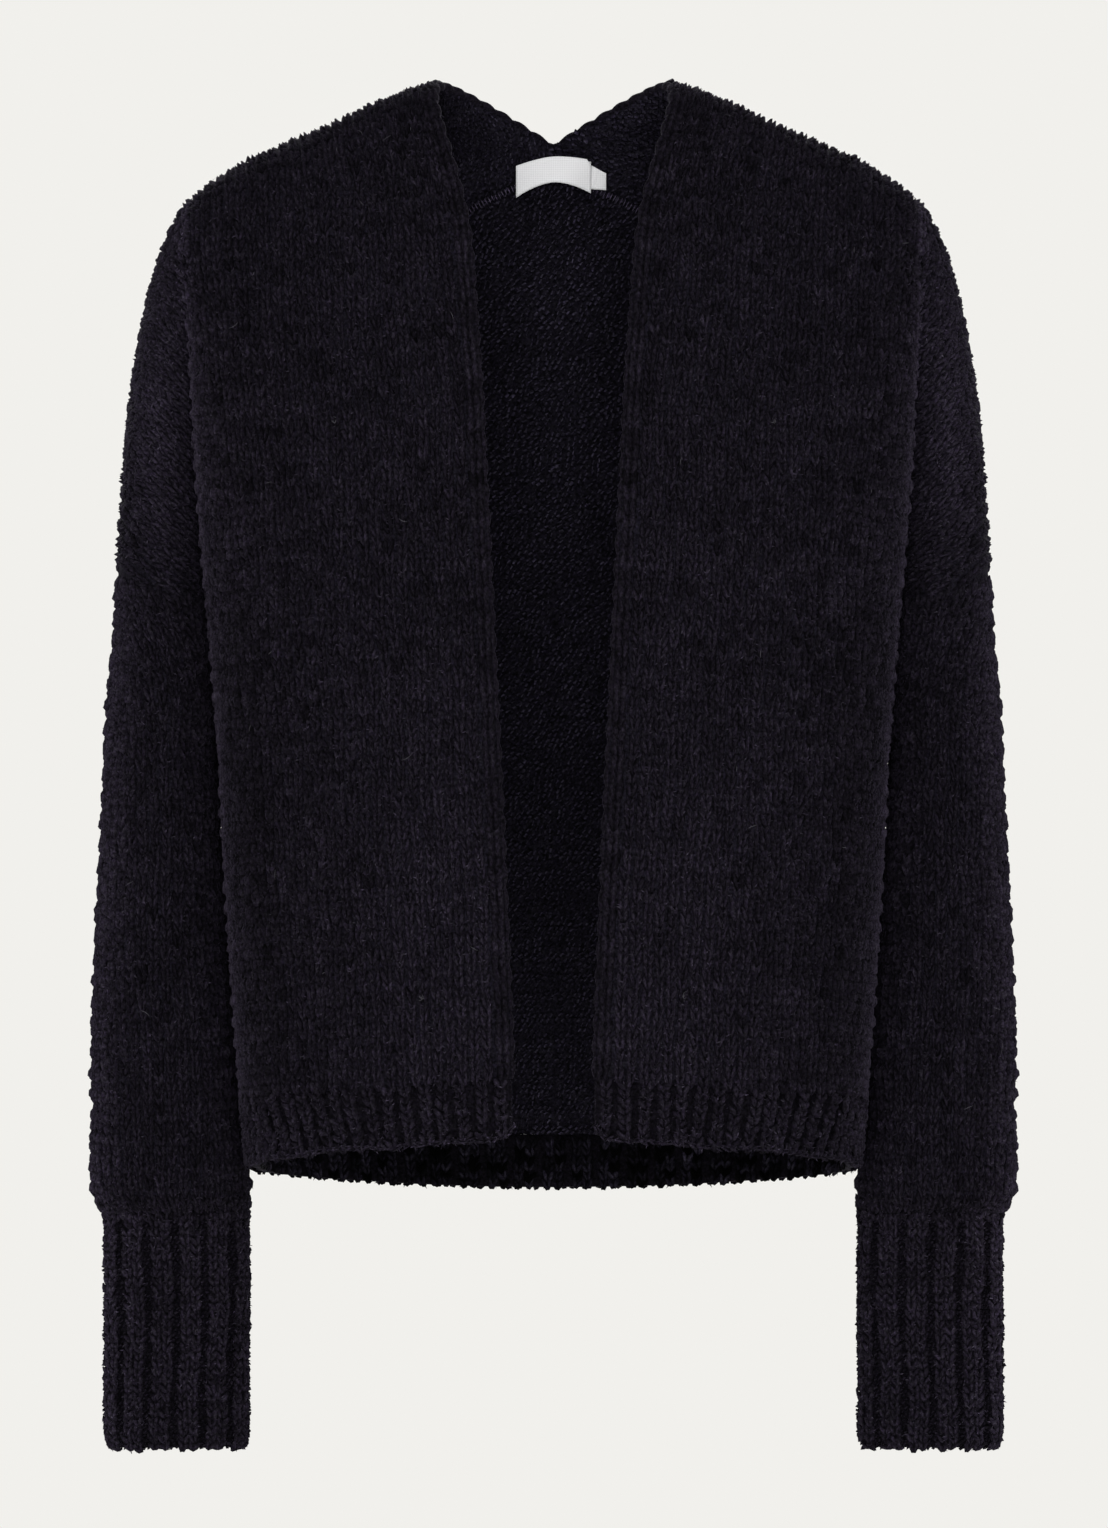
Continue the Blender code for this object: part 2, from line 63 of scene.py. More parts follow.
frontTable = {
    "z": (-93, -130, -170, -210, -250, -282, -336, -444, -525, -606),
    "depth": (-69, -88, -104, -113, -117.5, -119, -119.5, -118.5, -116, -113),
    "endX": (198, 195.5, 192.5, 190, 187.5, 185.5, 180.5, 174.5, 169, 161.5),
    "endY": (-44, -44, -38, -26, -8, 12, 12, 12, 12, 12),
    "turn": (53, 74, 92, 94, 94, 93, 93, 93, 93, 93),
    "edgeX": (44.3, 41.5, 38.6, 36.6, 34.6, 33.1, 30.6, 25.2, 21.6, 21.2),
}
backTable = {
    "z": (-140, -170, -210, -250, -282, -336, -444, -525, -606),
    "depth": (93, 99, 104, 107, 108, 108, 105, 102, 99),
    "endX": (196.5, 193, 190, 187.5, 185.5, 180.5, 174.5, 169, 161.5),
    "endY": (62, 61, 53, 37, 12, 12, 12, 12, 12),
    "turn": (-62, -80, -92, -93, -93, -93, -93, -93, -93),
}
ridgeTable = {
    "x": (62, 77.5, 98.5, 120.5, 141.5, 163, 174, 184.5, 195, 198, 206, 212, 217, 223, 228, 232.5, 236.5),
    "y": (0, 0.5, 1, 1.5, 2, 3, 3.5, 4, 4, 4, 5, 6, 8, 11, 14, 17, 20),
    "z": (-1, -6, -14, -25, -34, -44, -50, -57, -66.5, -70, -83.5, -98, -114, -143, -172, -220, -271),
}
seamTable = {
    "x": (0, 24, 48.7, 100, 150, 198),
    "y": (68, 71, 74, 76, 71, 56),
    "z": (-41.5, -53, -65, -87, -103, -116),
}
armTable = {
    "row": (0, 1, 2, 3, 4, 5, 6, 7, 8),
    "turn": (53, 28, 4, -16, -32, -45, -58, -73, -90),
    "reach": (18, 16, 16, 19, 23, 29, 37, 46, 56),
    "reachOut": (20, 24, 31, 38, 44, 49, 53, 56, 58),
    "seamX": (198, 205.5, 210.5, 213.5, 215.5, 216.5, 217, 217, 217),
    "seamY": (56, 55.5, 56.5, 58.5, 60.5, 62, 63.5, 65, 66),
    "seamZ": (-116, -125, -141, -163, -187, -211, -235, -258, -279),
    "seamTurn": (90, 125, 148, 160, 164, 165, 163, 160, 156),
    "rearTurn": (20, 15, 8, 0, -10, -24, -42, -64, -90),
}
sleeveTable = {
    "z": (-282, -296, -340, -366, -441, -498, -536, -575, -592, -603, -608.5, -612),
    "inX": (186.4, 186.3, 183.6, 181.9, 177.4, 173.2, 170, 166.6, 165.8, 165.6, 165.8, 166.3),
    "outX": (237.5, 238.4, 241, 242.3, 246.2, 248.9, 249.8, 250.2, 250.2, 249, 246.6, 242.9),
    "midY": (20, 21, 24, 25, 28, 28, 27, 25, 24, 23, 22.5, 22),
    "halfY": (48, 48, 46, 44, 40, 36, 33, 30, 28.5, 26, 22, 17.5),
    "levels": (-284, -296, -322, -352, -390, -432, -474, -516, -556, -590, -604, -612),
}


def column(table, name, at, key="z"):
    order = np.argsort(table[key])
    return float(np.interp(at, np.array(table[key])[order], np.array(table[name])[order]))


def eased(table, name, at):
    return sum(column(table, name, at + mean["step"] * k) for k in (-1, 0, 1)) / 3.0


def bezier(a, b, c, d, count):
    t = np.linspace(0.0, 1.0, count + 1)[:, None]
    u = 1.0 - t
    return u**3 * a + 3 * u * u * t * b + 3 * u * t * t * c + t**3 * d


def stepsOf(points):
    return np.r_[0.0, np.cumsum(np.linalg.norm(np.diff(points, axis=0), axis=1))]


def alongLine(at, steps, points):
    return np.stack([np.interp(at, steps, points[:, k]) for k in range(points.shape[1])], axis=1)


def respace(points, count, start=0.0):
    steps = stepsOf(points)
    return alongLine(np.linspace(start, steps[-1], count + 1), steps, points)


def unit(v):
    v = np.asarray(v, float)
    return v / np.maximum(np.linalg.norm(v, axis=-1, keepdims=True), 1e-9)


def bridge(start, leave, end, arrive, name, count, fine=grain["fine"]):
    # An evenly spaced curve that leaves one point and arrives at the other along the two directions.
    far, handles = np.linalg.norm(end - start), reach[name]
    return respace(bezier(start, start + leave * far * handles[0], end - arrive * far * handles[1], end, fine), count)


def halfSection(table, z):
    # Half of a level cut through the body, from the middle to the side fold.
    depth, endX, endY = (column(table, name, z) for name in ("depth", "endX", "endY"))
    turn = math.radians(column(table, "turn", z))
    if z < mean["below"] or z > mean["above"]:
        depth = eased(table, "depth", z)
    heading, end = np.array([math.cos(turn), math.sin(turn)]), np.array([endX, endY])
    line = bezier(np.array([0.0, depth]), np.array([reach["middle"] * endX, depth]),
                  end - reach["fold"] * abs(endY - depth) * heading, end, grain["section"])
    return np.c_[line, np.full(len(line), z)]


def frontLine(z, count):
    # The opening's edge lies within the first three quarters of the section.
    line = halfSection(frontTable, z)
    part = grain["section"] * 3 // 4
    start = np.interp(column(frontTable, "edgeX", z), np.maximum.accumulate(line[:, 0])[:part], stepsOf(line)[:part])
    return respace(line, count, start)


def backLine(z, count):
    return respace(halfSection(backTable, z), count)


def fromTable(table, at):
    return np.stack([np.interp(at, table["x"], table[name]) for name in "xyz"], axis=-1)


def frontHemTop(part):
    return hem["frontEdge"] + hem["highFront"] + (hem["side"] - hem["frontEdge"]) * part


def backHemTop(part):
    side = hem["side"] + hem["highFront"]
    return hem["back"] + hem["highBack"] + (side - hem["back"] - hem["highBack"]) * part**2


def rowsBetween(maker, low, high, cols, rows):
    # Rows of cloth from one edge up to another, each point on the section at its own height.
    made = []
    for k in range(rows + 1):
        heights = low + (high - low) * k / rows
        made.append(np.array([maker(heights[i], cols)[i] for i in range(cols + 1)]))
    return made


def levelRows(low, maker, levels, cols):
    at = np.linspace(0, len(levels) - 1, grain["crease"] + 1)[1:]
    return (rowsBetween(maker, low, underarmHeight, cols, grain["low"])
            + [maker(z, cols) for z in np.interp(at, range(len(levels)), levels)])


def patchOf(rows, tops):
    tops = np.array(tops)
    return np.array(rows + [tops[:, k] for k in range(1, tops.shape[1])]).transpose(1, 0, 2)


def frontPatch():
    # The front from its hem over the shoulder to the yoke seam.
    cols = grain["cols"]
    parts = np.linspace(0.0, 1.0, cols + 1)
    rows = levelRows(frontHemTop(parts), frontLine, creaseFront, cols)
    last, before = rows[-1], frontLine(shoulder["frontFrom"], cols)
    ridge = fromTable(ridgeTable, shoulder["neckX"] + shoulder["long"] * parts)
    seam = fromTable(seamTable, np.r_[0.0, np.linspace(0.0, shoulder["wide"], cols)])
    seam[0] = shoulder["neckEnd"]
    over = []
    for i in range(cols + 1):
        lean = max(0.0, 1.0 - parts[i] / shoulder["leanPart"])
        across = unit((shoulder["lean"] * lean, *shoulder["across"]))
        fall = unit(np.array(shoulder["fall"]) + lean * np.array(shoulder["fallLean"]))
        up = bridge(last[i], unit(last[i] - before[i]), ridge[i], across, "ridge", grain["overFront"])
        over.append(np.vstack([up, bridge(ridge[i], across, seam[i], fall, "yoke", grain["overBack"])[1:]]))
    return patchOf(rows, over)


def backPatch(seam):
    cols = grain["cols"] - 1
    rows = levelRows(backHemTop(np.linspace(0.0, 1.0, cols + 1)), backLine, creaseBack, cols)
    last, before = rows[-1], backLine(shoulder["backFrom"], cols)
    arrive = unit(shoulder["arrive"])
    return patchOf(rows, [bridge(last[i], unit(last[i] - before[i]), seam[i], arrive, "back", grain["backTop"])
                          for i in range(cols + 1)])


def armPatches(front, back):
    # The cap of the arm, from the crease over the top to the seam, and the small piece behind it.
    count, span = grain["overFront"] + grain["overBack"], grain["crease"]
    arm, rear = np.zeros((span + 1, count + 1, 3)), np.zeros((span + 1, grain["backTop"] + 1, 3))
    crease = front[-1, grain["low"]:grain["low"] + span + 1][::-1]
    fold = back[-1, grain["low"]:grain["low"] + span + 1][::-1]
    for k in range(span + 1):
        part = k / span
        row = {name: column(armTable, name, armTable["row"][-1] * part, "row") for name in armTable}
        start, stop = crease[k], fold[k]
        z = start[2] + cap["above"] - cap["lower"] * part
        outer = np.array([column(ridgeTable, "x", z), column(ridgeTable, "y", z), z])
        turn, bend, inward = (math.radians(row[name]) for name in ("turn", "seamTurn", "rearTurn"))
        away = np.array([math.cos(turn), math.sin(turn), cap["rise"] * (1 - part)])
        one = bezier(start, start + away * row["reach"], outer - np.array([0.0, row["reachOut"], 0.0]), outer,
                     grain["armFine"])
        end = np.array([row["seamX"], row["seamY"], row["seamZ"]])
        heading = unit((math.cos(bend), math.sin(bend), cap["drop"] * (1 - part) ** cap["dropEase"]))
        two = bridge(outer, np.array([0.0, 1.0, 0.0]), end, heading, "cap", grain["overBack"], grain["armFine"])
        arm[k] = np.vstack([respace(one, grain["overFront"]), two[1:]])
        arrive = np.array([-math.cos(inward), math.sin(inward), 0.0])
        rear[k] = bridge(end, heading, stop, arrive, "rear", grain["backTop"], grain["armFine"])[::-1]
    arm[:, 0], rear[:, 0] = crease, fold
    arm[0], rear[0] = front[-1, grain["low"] + span:], back[-1, grain["low"] + span:]
    rear[:, -1] = arm[:, -1]
    return arm, rear


def ovalRing(inX, outX, midY, halfY, z, cols, power):
    angle = np.linspace(0.0, 2 * math.pi, grain["oval"])
    c, s = np.cos(angle), np.sin(angle)
    x = (inX + outX) / 2 - (outX - inX) / 2 * np.sign(c) * np.abs(c) ** power
    y = midY - halfY * np.sign(s) * np.abs(s) ** power
    return respace(np.c_[x, y, np.full(len(x), z)], cols)


def sleevePatch(arm, rear):
    # Rings from the slanting top of the sleeve, which eases into level ovals, down to the wrist.
    top = np.vstack([arm[-1], rear[-1][::-1][1:]])
    rings, levels = [top], sleeveTable["levels"]
    for z in np.interp(np.linspace(0, len(levels) - 1, grain["sleeve"] + 1)[1:], range(len(levels)), levels):
        ring = ovalRing(*(column(sleeveTable, name, z) for name in ("inX", "outX", "midY", "halfY")), z,
                        len(top) - 1, level["square"])
        keep = max(0.0, 1.0 - (level["from"] - z) / level["long"]) ** level["ease"]
        offset = top - np.array([0.0, 0.0, top[:, 2].mean()])
        tilt = offset[:, 2] * keep * level["tilt"]
        offset[:, 2] = 0.0
        ring = ring * (1 - keep) + (offset + np.array([0.0, 0.0, z])) * keep
        ring[:, 2] = z + tilt
        rings.append(ring)
    return np.array(rings)


def settle(grid, times):
    # Eases small kinks between the named levels, leaving the border where it is.
    for _ in range(times):
        grid[:, 1:-1] = (grid[:, :-2] + 2 * grid[:, 1:-1] + grid[:, 2:]) / 4
    return grid


front = settle(frontPatch(), 2)
back = settle(backPatch(front[1:, -1]), 2)
back[-1, :grain["low"] + 1] = front[-1, :grain["low"] + 1]
back[:, -1] = front[1:, -1]
arm, rear = armPatches(front, back)
sleeve = sleevePatch(arm, rear)
print("cloth lines drawn")


def gridNormals(grid, outward):
    return unit(np.cross(np.gradient(grid, axis=0), np.gradient(grid, axis=1))) * outward


def sampled(grid, i, j):
    i = np.clip(i, 0, grid.shape[0] - 1.0001)
    j = np.clip(j, 0, grid.shape[1] - 1.0001)
    a, b = np.floor(i).astype(int), np.floor(j).astype(int)
    u, v = (i - a)[:, None], (j - b)[:, None]
    return (grid[a, b] * (1 - u) * (1 - v) + grid[a + 1, b] * u * (1 - v) + grid[a, b + 1] * (1 - u) * v
            + grid[a + 1, b + 1] * u * v)


def merged(points):
    # Which points stay when those at one place become one, and where each old point went.
    _, first, index = np.unique(np.round(points, 3) + 0.0, axis=0, return_index=True, return_inverse=True)
    return first, index.reshape(-1)


def quadsOf(grid, base=0, turned=False):
    rows, cols = grid.shape[:2]
    index = base + np.arange(rows * cols).reshape(rows, cols)
    quads = np.stack([index[:-1, :-1], index[1:, :-1], index[1:, 1:], index[:-1, 1:]], axis=-1).reshape(-1, 4)
    return quads[:, ::-1] if turned else quads


def joinedGrids(grids):
    # The points and faces of several patches as one list.
    bases = np.cumsum([0] + [grid.shape[0] * grid.shape[1] for grid, _ in grids])
    points = np.vstack([grid.reshape(-1, 3) for grid, _ in grids])
    return points, np.vstack([quadsOf(grid, base, turned) for (grid, turned), base in zip(grids, bases)]), bases


def normalsOf(points, quads):
    total = np.zeros_like(points)
    for corners in ((0, 1, 2), (0, 2, 3), (0, 1, 3), (1, 2, 3)):
        p, q, r = (points[quads[:, k]] for k in corners)
        face = np.cross(q - p, r - p)
        for k in corners:
            np.add.at(total, quads[:, k], face)
    return unit(total)


# Soft creases, laid one by one: x and z of the two ends, width and depth in millimetres. A ridge has a negative depth.
creases = {
    "front": ((174, -236, 128, -190, 13, 2.8), (180, -290, 146, -250, 10, 2.1), (168, -352, 112, -346, 5.5, 1.3),
              (138, -372, 130, -548, 20, 3.6), (98, -420, 104, -566, 17, -2.2), (72, -330, 66, -470, 24, 2.2),
              (44, -440, 38, -590, 20, -3.1), (92, -36, 112, -96, 15, 2.0), (150, -70, 160, -130, 14, 1.8),
              (122, -120, 86, -160, 18, 1.7)),
    "capFront": ((204, -196, 228, -176, 9, 1.8), (198, -246, 230, -232, 8, 2.2)),
    "sleeveFront": ((182, -372, 232, -352, 12, 3.4), (178, -408, 222, -420, 9, 2.5), (240, -392, 214, -384, 8, 2.1),
                    (176, -470, 206, -486, 10, 2.2), (246, -520, 214, -508, 9, 2.0), (170, -566, 204, -556, 8, 2.1),
                    (244, -586, 212, -580, 7, 2.2)),
    "sleeveBack": ((184, -352, 230, -366, 13, 3.1), (180, -398, 214, -388, 9, 2.8), (242, -428, 210, -418, 10, 2.2),
                   (174, -500, 216, -512, 10, 2.4), (246, -560, 206, -552, 8, 2.1), (172, -590, 200, -584, 7, 1.8)),
    "capBack": ((206, -190, 222, -176, 9, 1.7), (200, -250, 224, -240, 8, 2.0)),
    "back": ((160, -150, 118, -226, 18, 3.4), (178, -262, 132, -300, 13, 2.8), (148, -336, 96, -352, 12, 2.1),
             (24, -140, 34, -236, 20, 1.7), (66, -392, 74, -560, 22, 3.6), (118, -420, 124, -572, 18, -2.5),
             (150, -400, 146, -560, 14, 2.5), (0, -470, 34, -478, 12, 1.8), (20, -520, 26, -598, 16, -2.0)),
}


def creaseRuns(faces):
    # Each crease as a run of points on the cloth that it lies in.
    runs = []
    for face, rows in creases.items():
        cloth = faces[face].reshape(-1, 3)
        for x0, z0, x1, z1, wide, deep in rows:
            run = []
            for t in np.linspace(0.0, 1.0, 9):
                x, z = x0 + (x1 - x0) * t, z0 + (z1 - z0) * t
                near = np.argmin((cloth[:, 0] - x) ** 2 + (cloth[:, 2] - z) ** 2)
                run.append((x, cloth[near, 1], z))
            runs.append((np.array(run), wide, deep))
    return runs


def creaseDepth(points):
    total = np.zeros(len(points))
    for run, wide, deep in runs:
        far = np.full(len(points), 1e9)
        for a, b in zip(run[:-1], run[1:]):
            t = np.clip(((points - a) @ (b - a)) / ((b - a) @ (b - a)), 0.0, 1.0)
            far = np.minimum(far, np.linalg.norm(points - a - t[:, None] * (b - a), axis=1))
        total += deep * np.exp(-((far / wide) ** 2))
    return total


def creased(grids):
    # Moves all patches along their joined outward directions, so that they still meet at their borders.
    flat, quads, bases = joinedGrids(grids)
    first, index = merged(flat)
    joined = flat[first]
    normals = normalsOf(joined, index[quads])
    normals[np.abs(joined[:, 0]) < 0.01, 0] = 0.0
    moved = (joined - normals * creaseDepth(joined)[:, None])[index]
    return [moved[base:base + grid.shape[0] * grid.shape[1]].reshape(grid.shape)
            for (grid, _), base in zip(grids, bases)]


halfCap, halfSleeve = grain["overFront"], grain["overFront"] + 1
capRear = np.vstack([arm[:, halfCap + 2:].reshape(-1, 3), rear.reshape(-1, 3)])
runs = creaseRuns({"front": front, "capFront": arm[:, :halfCap], "sleeveFront": sleeve[2:, :halfSleeve],
                   "sleeveBack": sleeve[2:, halfSleeve + 2:], "capBack": capRear, "back": back})
front, arm, back, rear, sleeve = creased([(front, False), (arm, False), (back, True), (rear, True), (sleeve, False)])
print("creases laid:", len(runs))

flips = {"_left": np.array([1.0, 1.0, 1.0]), "_right": np.array([-1.0, 1.0, 1.0])}
pieces = {}


def keep(node, obj):
    pieces.setdefault(node, []).append(obj)


def linked(name, data):
    obj = bpy.data.objects.new(name, data)
    bpy.context.scene.collection.objects.link(obj)
    return obj


def shellOf(grids, outLift, inDrop, underarm=None):
    # Closed thin shell over one or more patches: outer face, inner face and the rim between them.
    points, quads, _ = joinedGrids(grids)
    first, index = merged(points)
    used, flat = np.unique(index[quads], return_inverse=True)
    points, quads = points[first][used], flat.reshape(-1, 4)
    normals = normalsOf(points, quads)
    if underarm is not None:
        normals[np.argmin(np.linalg.norm(points - underarm, axis=1))] = (0.0, 0.0, -1.0)
    ends = np.concatenate([quads[:, [k, (k + 1) % 4]] for k in range(4)])
    ends = ends[ends[:, 0] != ends[:, 1]].tolist()
    have = {tuple(e) for e in ends}
    count = len(points)
    rim = [(b, a, a + count, b + count) for a, b in ends if (b, a) not in have]
    return (np.vstack([points + normals * outLift, points - normals * inDrop]),
            quads.tolist() + (quads[:, ::-1] + count).tolist() + rim)


def newMesh(name, points, faces):
    mesh = bpy.data.meshes.new(name)
    mesh.from_pydata(points, [], faces)
    mesh.update()
    mesh.polygons.foreach_set("use_smooth", [True] * len(mesh.polygons))
    return mesh


def setField(mesh, label, values, kind="FLOAT"):
    layer = mesh.attributes.new(label, kind, "POINT")
    layer.data.foreach_set("value" if kind == "FLOAT" else "vector", np.asarray(values, np.float32).reshape(-1))


def meshPiece(name, points, faces, material, depth=(0.06, 0.45)):
    # The depth is painted shade: it darkens the outer face, which lies under the stitches, and the inner one by its
    # own amount.
    faces = [list(dict.fromkeys(int(v) for v in face)) for face in faces]
    mesh = newMesh(name, (np.asarray(points) / 1000.0).tolist(), [face for face in faces if len(face) > 2])
    setField(mesh, "depth", np.repeat(depth, len(points) // 2))
    mesh.materials.append(material)
    return linked(name, mesh)


def setInputs(tree, node, inputs):
    # Each input takes a value, or is linked to the socket given for it.
    for label, value in inputs.items():
        if isinstance(value, bpy.types.NodeSocket):
            tree.links.new(value, node.inputs[label])
        else:
            node.inputs[label].default_value = value


def addNode(tree, kind, inputs=None, **settings):
    node = tree.nodes.new(kind)
    for label, value in settings.items():
        setattr(node, label, value)
    setInputs(tree, node, inputs or {})
    return node


def maths(tree, operation, *inputs):
    return addNode(tree, "ShaderNodeMath", dict(enumerate(inputs)), operation=operation).outputs["Value"]


def scaled(tree, vector, amount):
    return addNode(tree, "ShaderNodeVectorMath", {0: vector, "Scale": amount}, operation="SCALE").outputs["Vector"]


def newMaterial(name, inputs):
    material = bpy.data.materials.new(name)
    material.use_nodes = True
    shader = material.node_tree.nodes["Principled BSDF"]
    setInputs(material.node_tree, shader, inputs)
    return material, material.node_tree, shader


# The inside colour is lighter than the knit colour: painted light for the wrong side, which the lamps reach less.
yarn = {"knitColour": (0.0094, 0.0070, 0.0134), "insideColour": (0.0275, 0.0224, 0.0430),
        "fuzzColour": (0.0168, 0.0131, 0.0230), "sheen": 0.08, "insideSheen": 0.6, "sheenRough": 0.22,
        "sheenTint": (0.50, 0.43, 0.64, 1.0), "rough": 0.95, "shine": 0.05, "fibreScale": 1000.0,
        "fibreTones": (0.5, 1.6), "clumpScale": 540.0, "clumpTones": (0.25, 1.95), "cloudScale": 20.0,
        "cloudTones": (0.90, 1.10), "greyScale": 560.0, "greyMix": (0.0, 0.45), "greyLight": 1.25,
        "detail": 3.0, "softDetail": 2.0, "contrast": (0.3, 0.7), "bump": 0.7, "bumpHigh": 0.0008, "knitDeep": 0.25,
        "insideDeep": 0.12, "lumpScale": 330.0, "fibreLengths": (0.5, 1.35), "fibreSpin": 9.0}


def woolMaterial(name, colour, sheen, deep):
    # Dark brushed wool: fine fibres, clumps of a few millimetres, and painted shade deep between the stitches.
    material, tree, shader = newMaterial(name, {
        "Roughness": yarn["rough"], "Specular IOR Level": yarn["shine"], "Sheen Weight": sheen,
        "Sheen Roughness": yarn["sheenRough"], "Sheen Tint": yarn["sheenTint"]})
    place = addNode(tree, "ShaderNodeTexCoord").outputs["Object"]

    def noise(scale, detail, tones):
        # The plain pattern, and the same pattern spread over the tones.
        plain = addNode(tree, "ShaderNodeTexNoise", {"Scale": scale, "Detail": detail, "Vector": place}).outputs["Fac"]
        low, high = yarn["contrast"]
        span = {"Value": plain, "From Min": low, "From Max": high, "To Min": tones[0], "To Max": tones[1]}
        return plain, addNode(tree, "ShaderNodeMapRange", span).outputs["Result"]

    def times(first, second):
        return maths(tree, "MULTIPLY", first, second)

    def attribute(label, scale, offset):
        made = addNode(tree, "ShaderNodeAttribute", attribute_name=label)
        return maths(tree, "MULTIPLY_ADD", made.outputs["Fac"], scale, offset)

    fibres, fine = noise(yarn["fibreScale"], yarn["detail"], yarn["fibreTones"])
    clumps = noise(yarn["clumpScale"], yarn["detail"], yarn["clumpTones"])[1]
    clouds = noise(yarn["cloudScale"], yarn["softDetail"], yarn["cloudTones"])[1]
    # Painted shade from the depth field, times the shade field, which holds each stitch's random tone and the painted
    # light and shade laid on it.
    light = times(attribute("depth", 1.0 - deep, deep), attribute("shade", 1.0, 1.0))
    amount = times(times(fine, clumps), times(clouds, light))
    grey = sum(colour) / 3 * yarn["greyLight"]
    mingled = addNode(tree, "ShaderNodeVectorMath", {
        0: noise(yarn["greyScale"], yarn["softDetail"], yarn["greyMix"])[1],
        1: [grey - part for part in colour], 2: colour}, operation="MULTIPLY_ADD")
    bump = addNode(tree, "ShaderNodeBump", {"Strength": yarn["bump"], "Distance": yarn["bumpHigh"], "Height": fibres})
    setInputs(tree, shader, {"Base Color": scaled(tree, mingled.outputs["Vector"], amount),
                             "Normal": bump.outputs["Normal"]})
    return material


knitWool = woolMaterial("knitWool", yarn["knitColour"], yarn["sheen"], yarn["knitDeep"])
innerWool = woolMaterial("innerWool", yarn["insideColour"], yarn["sheen"] * yarn["insideSheen"], yarn["insideDeep"])
fuzzWool = woolMaterial("fuzzWool", yarn["fuzzColour"], yarn["sheen"], yarn["knitDeep"])


def smallShape(name, points, faces, deep):
    # A mesh that the trees copy onto points. It is removed when every stitch is laid.
    mesh = newMesh(name, points, faces)
    setField(mesh, "depth", deep)
    return linked(name, mesh)


# The section of a strand and the shape of a leg of the V, in parts of its own size.
strand = {"low": -0.35, "squash": 0.8, "shadow": 0.15, "light": 0.85, "from": 0.06, "swell": 0.88, "slim": 0.35,
          "full": 0.65, "middle": 0.51, "riseAt": (0.0, 0.33, 0.67, 1.0), "rise": (-0.08, 1.0, 0.90, 0.0)}


def strandShape(name, strands):
    # A strand has (x, y, half width, height) at its stations, in stitch widths, rows and relief.
    points, faces, deep = [], [], []
    low, squash = strand["low"], strand["squash"]
    for stations in strands:
        base = len(points)
        along = unit(np.gradient(np.array([s[:2] for s in stations]), axis=0))
        for (x, y, w, h), (ax, ay) in zip(stations, along):
            points += [(x - ay * w, y + ax * w * squash, low), (x, y, h), (x + ay * w, y - ax * w * squash, low)]
            # Painted shade: the base edges of a strand are darkest, its crest lightest.
            deep += [0.0, max(0.0, min(1.0, strand["shadow"] + strand["light"] * h)), 0.0]
        for a in range(base, len(points) - 3, 3):
            b = a + 3
            faces += [(a + 1, a, b, b + 1), (a + 2, a + 1, b + 1, b + 2)]
    return smallShape(name, points, faces, deep)


def legStrands(wide, stations=4, foot=0.07, head=0.36, tall=1.64):
    legs = []
    for side in (1, -1):
        rows = []
        for t in np.linspace(0.0, 1.0, stations):
            swell = math.sin(math.pi * (strand["from"] + strand["swell"] * t))
            rows.append((side * (foot + (head - foot) * t), tall * (t - strand["middle"]),
                         wide * (strand["slim"] + strand["full"] * swell),
                         np.interp(t, strand["riseAt"], strand["rise"])))
        legs.append(rows[::side])
    return legs


# The arcs are the slanting loops that each stitch shows on its wrong side, in a staggered pair of rows.
arcs = [[(x + 0.11, y + 0.16, 0.15, 0.6), (x - 0.11, y - 0.16, 0.15, 0.8)]
        for x, y in ((-0.32, -0.26), (0.18, -0.26), (-0.07, 0.24), (0.43, 0.24))]
bar = [[(0.5, 0.0, 0.18, -0.1), (0.2, 0.0, 0.36, 1.0), (-0.2, 0.0, 0.36, 1.0), (-0.5, 0.0, 0.18, -0.1)]]
# The depth of each shape is painted shade, darkest at the base of a strand and at a fibre's root.
shapes = {"vee": strandShape("veeShape", legStrands(0.235)),
          "ribVee": strandShape("ribShape", legStrands(0.25, 4, 0.06, 0.40, 1.5)),
          "chain": strandShape("chainShape", legStrands(0.27, 5, 0.16, 0.28)),
          "arcs": strandShape("arcShape", arcs), "bar": strandShape("barShape", bar),
          "fibre": smallShape("fibreShape", [(0.0, 0.0, 0.02), (0.20, 0.46, 0.22), (0.36, 0.94, 0.16),
                                             (-0.04, 0.50, 0.22)], [(0, 1, 3), (1, 2, 3)], [0.6, 1.0, 1.0, 1.0])}
pointFields = ("faceOut", "runAlong", "stitchSize")


def treeWith(name, inputs):
    tree = bpy.data.node_groups.new(name, "GeometryNodeTree")
    ids = {}
    for label, kind, value in inputs:
        socket = tree.interface.new_socket(name=label, in_out="INPUT", socket_type="NodeSocket" + kind)
        if value is not None:
            socket.default_value = value
        ids[label] = socket.identifier
    tree.interface.new_socket(name="Geometry", in_out="OUTPUT", socket_type="NodeSocketGeometry")
    return tree, ids, tree.nodes.new("NodeGroupInput").outputs, tree.nodes.new("NodeGroupOutput")


def laidOn(tree, given, points, shape, turn, size, spin=1.0):
    # Copies a shape onto the points. Each copy turns a little from where it would lie, and spins on its own upright.
    chance = addNode(tree, "FunctionNodeRandomValue", data_type="FLOAT_VECTOR")
    setInputs(tree, chance, {0: (-1.0, -1.0, -spin), 1: (1.0, 1.0, spin), "Seed": given["Seed"]})
    swing = scaled(tree, chance.outputs[0], given["Wander"])
    euler = addNode(tree, "FunctionNodeEulerToRotation", {"Euler": swing}).outputs["Rotation"]
    turned = addNode(tree, "FunctionNodeRotateRotation", {"Rotation": turn, "Rotate By": euler},
                     rotation_space="LOCAL").outputs["Rotation"]
    picked = addNode(tree, "GeometryNodeObjectInfo", {"Object": shape}).outputs["Geometry"]
    return addNode(tree, "GeometryNodeInstanceOnPoints", {
        "Points": points, "Instance": picked, "Rotation": turned, "Scale": size}).outputs["Instances"]


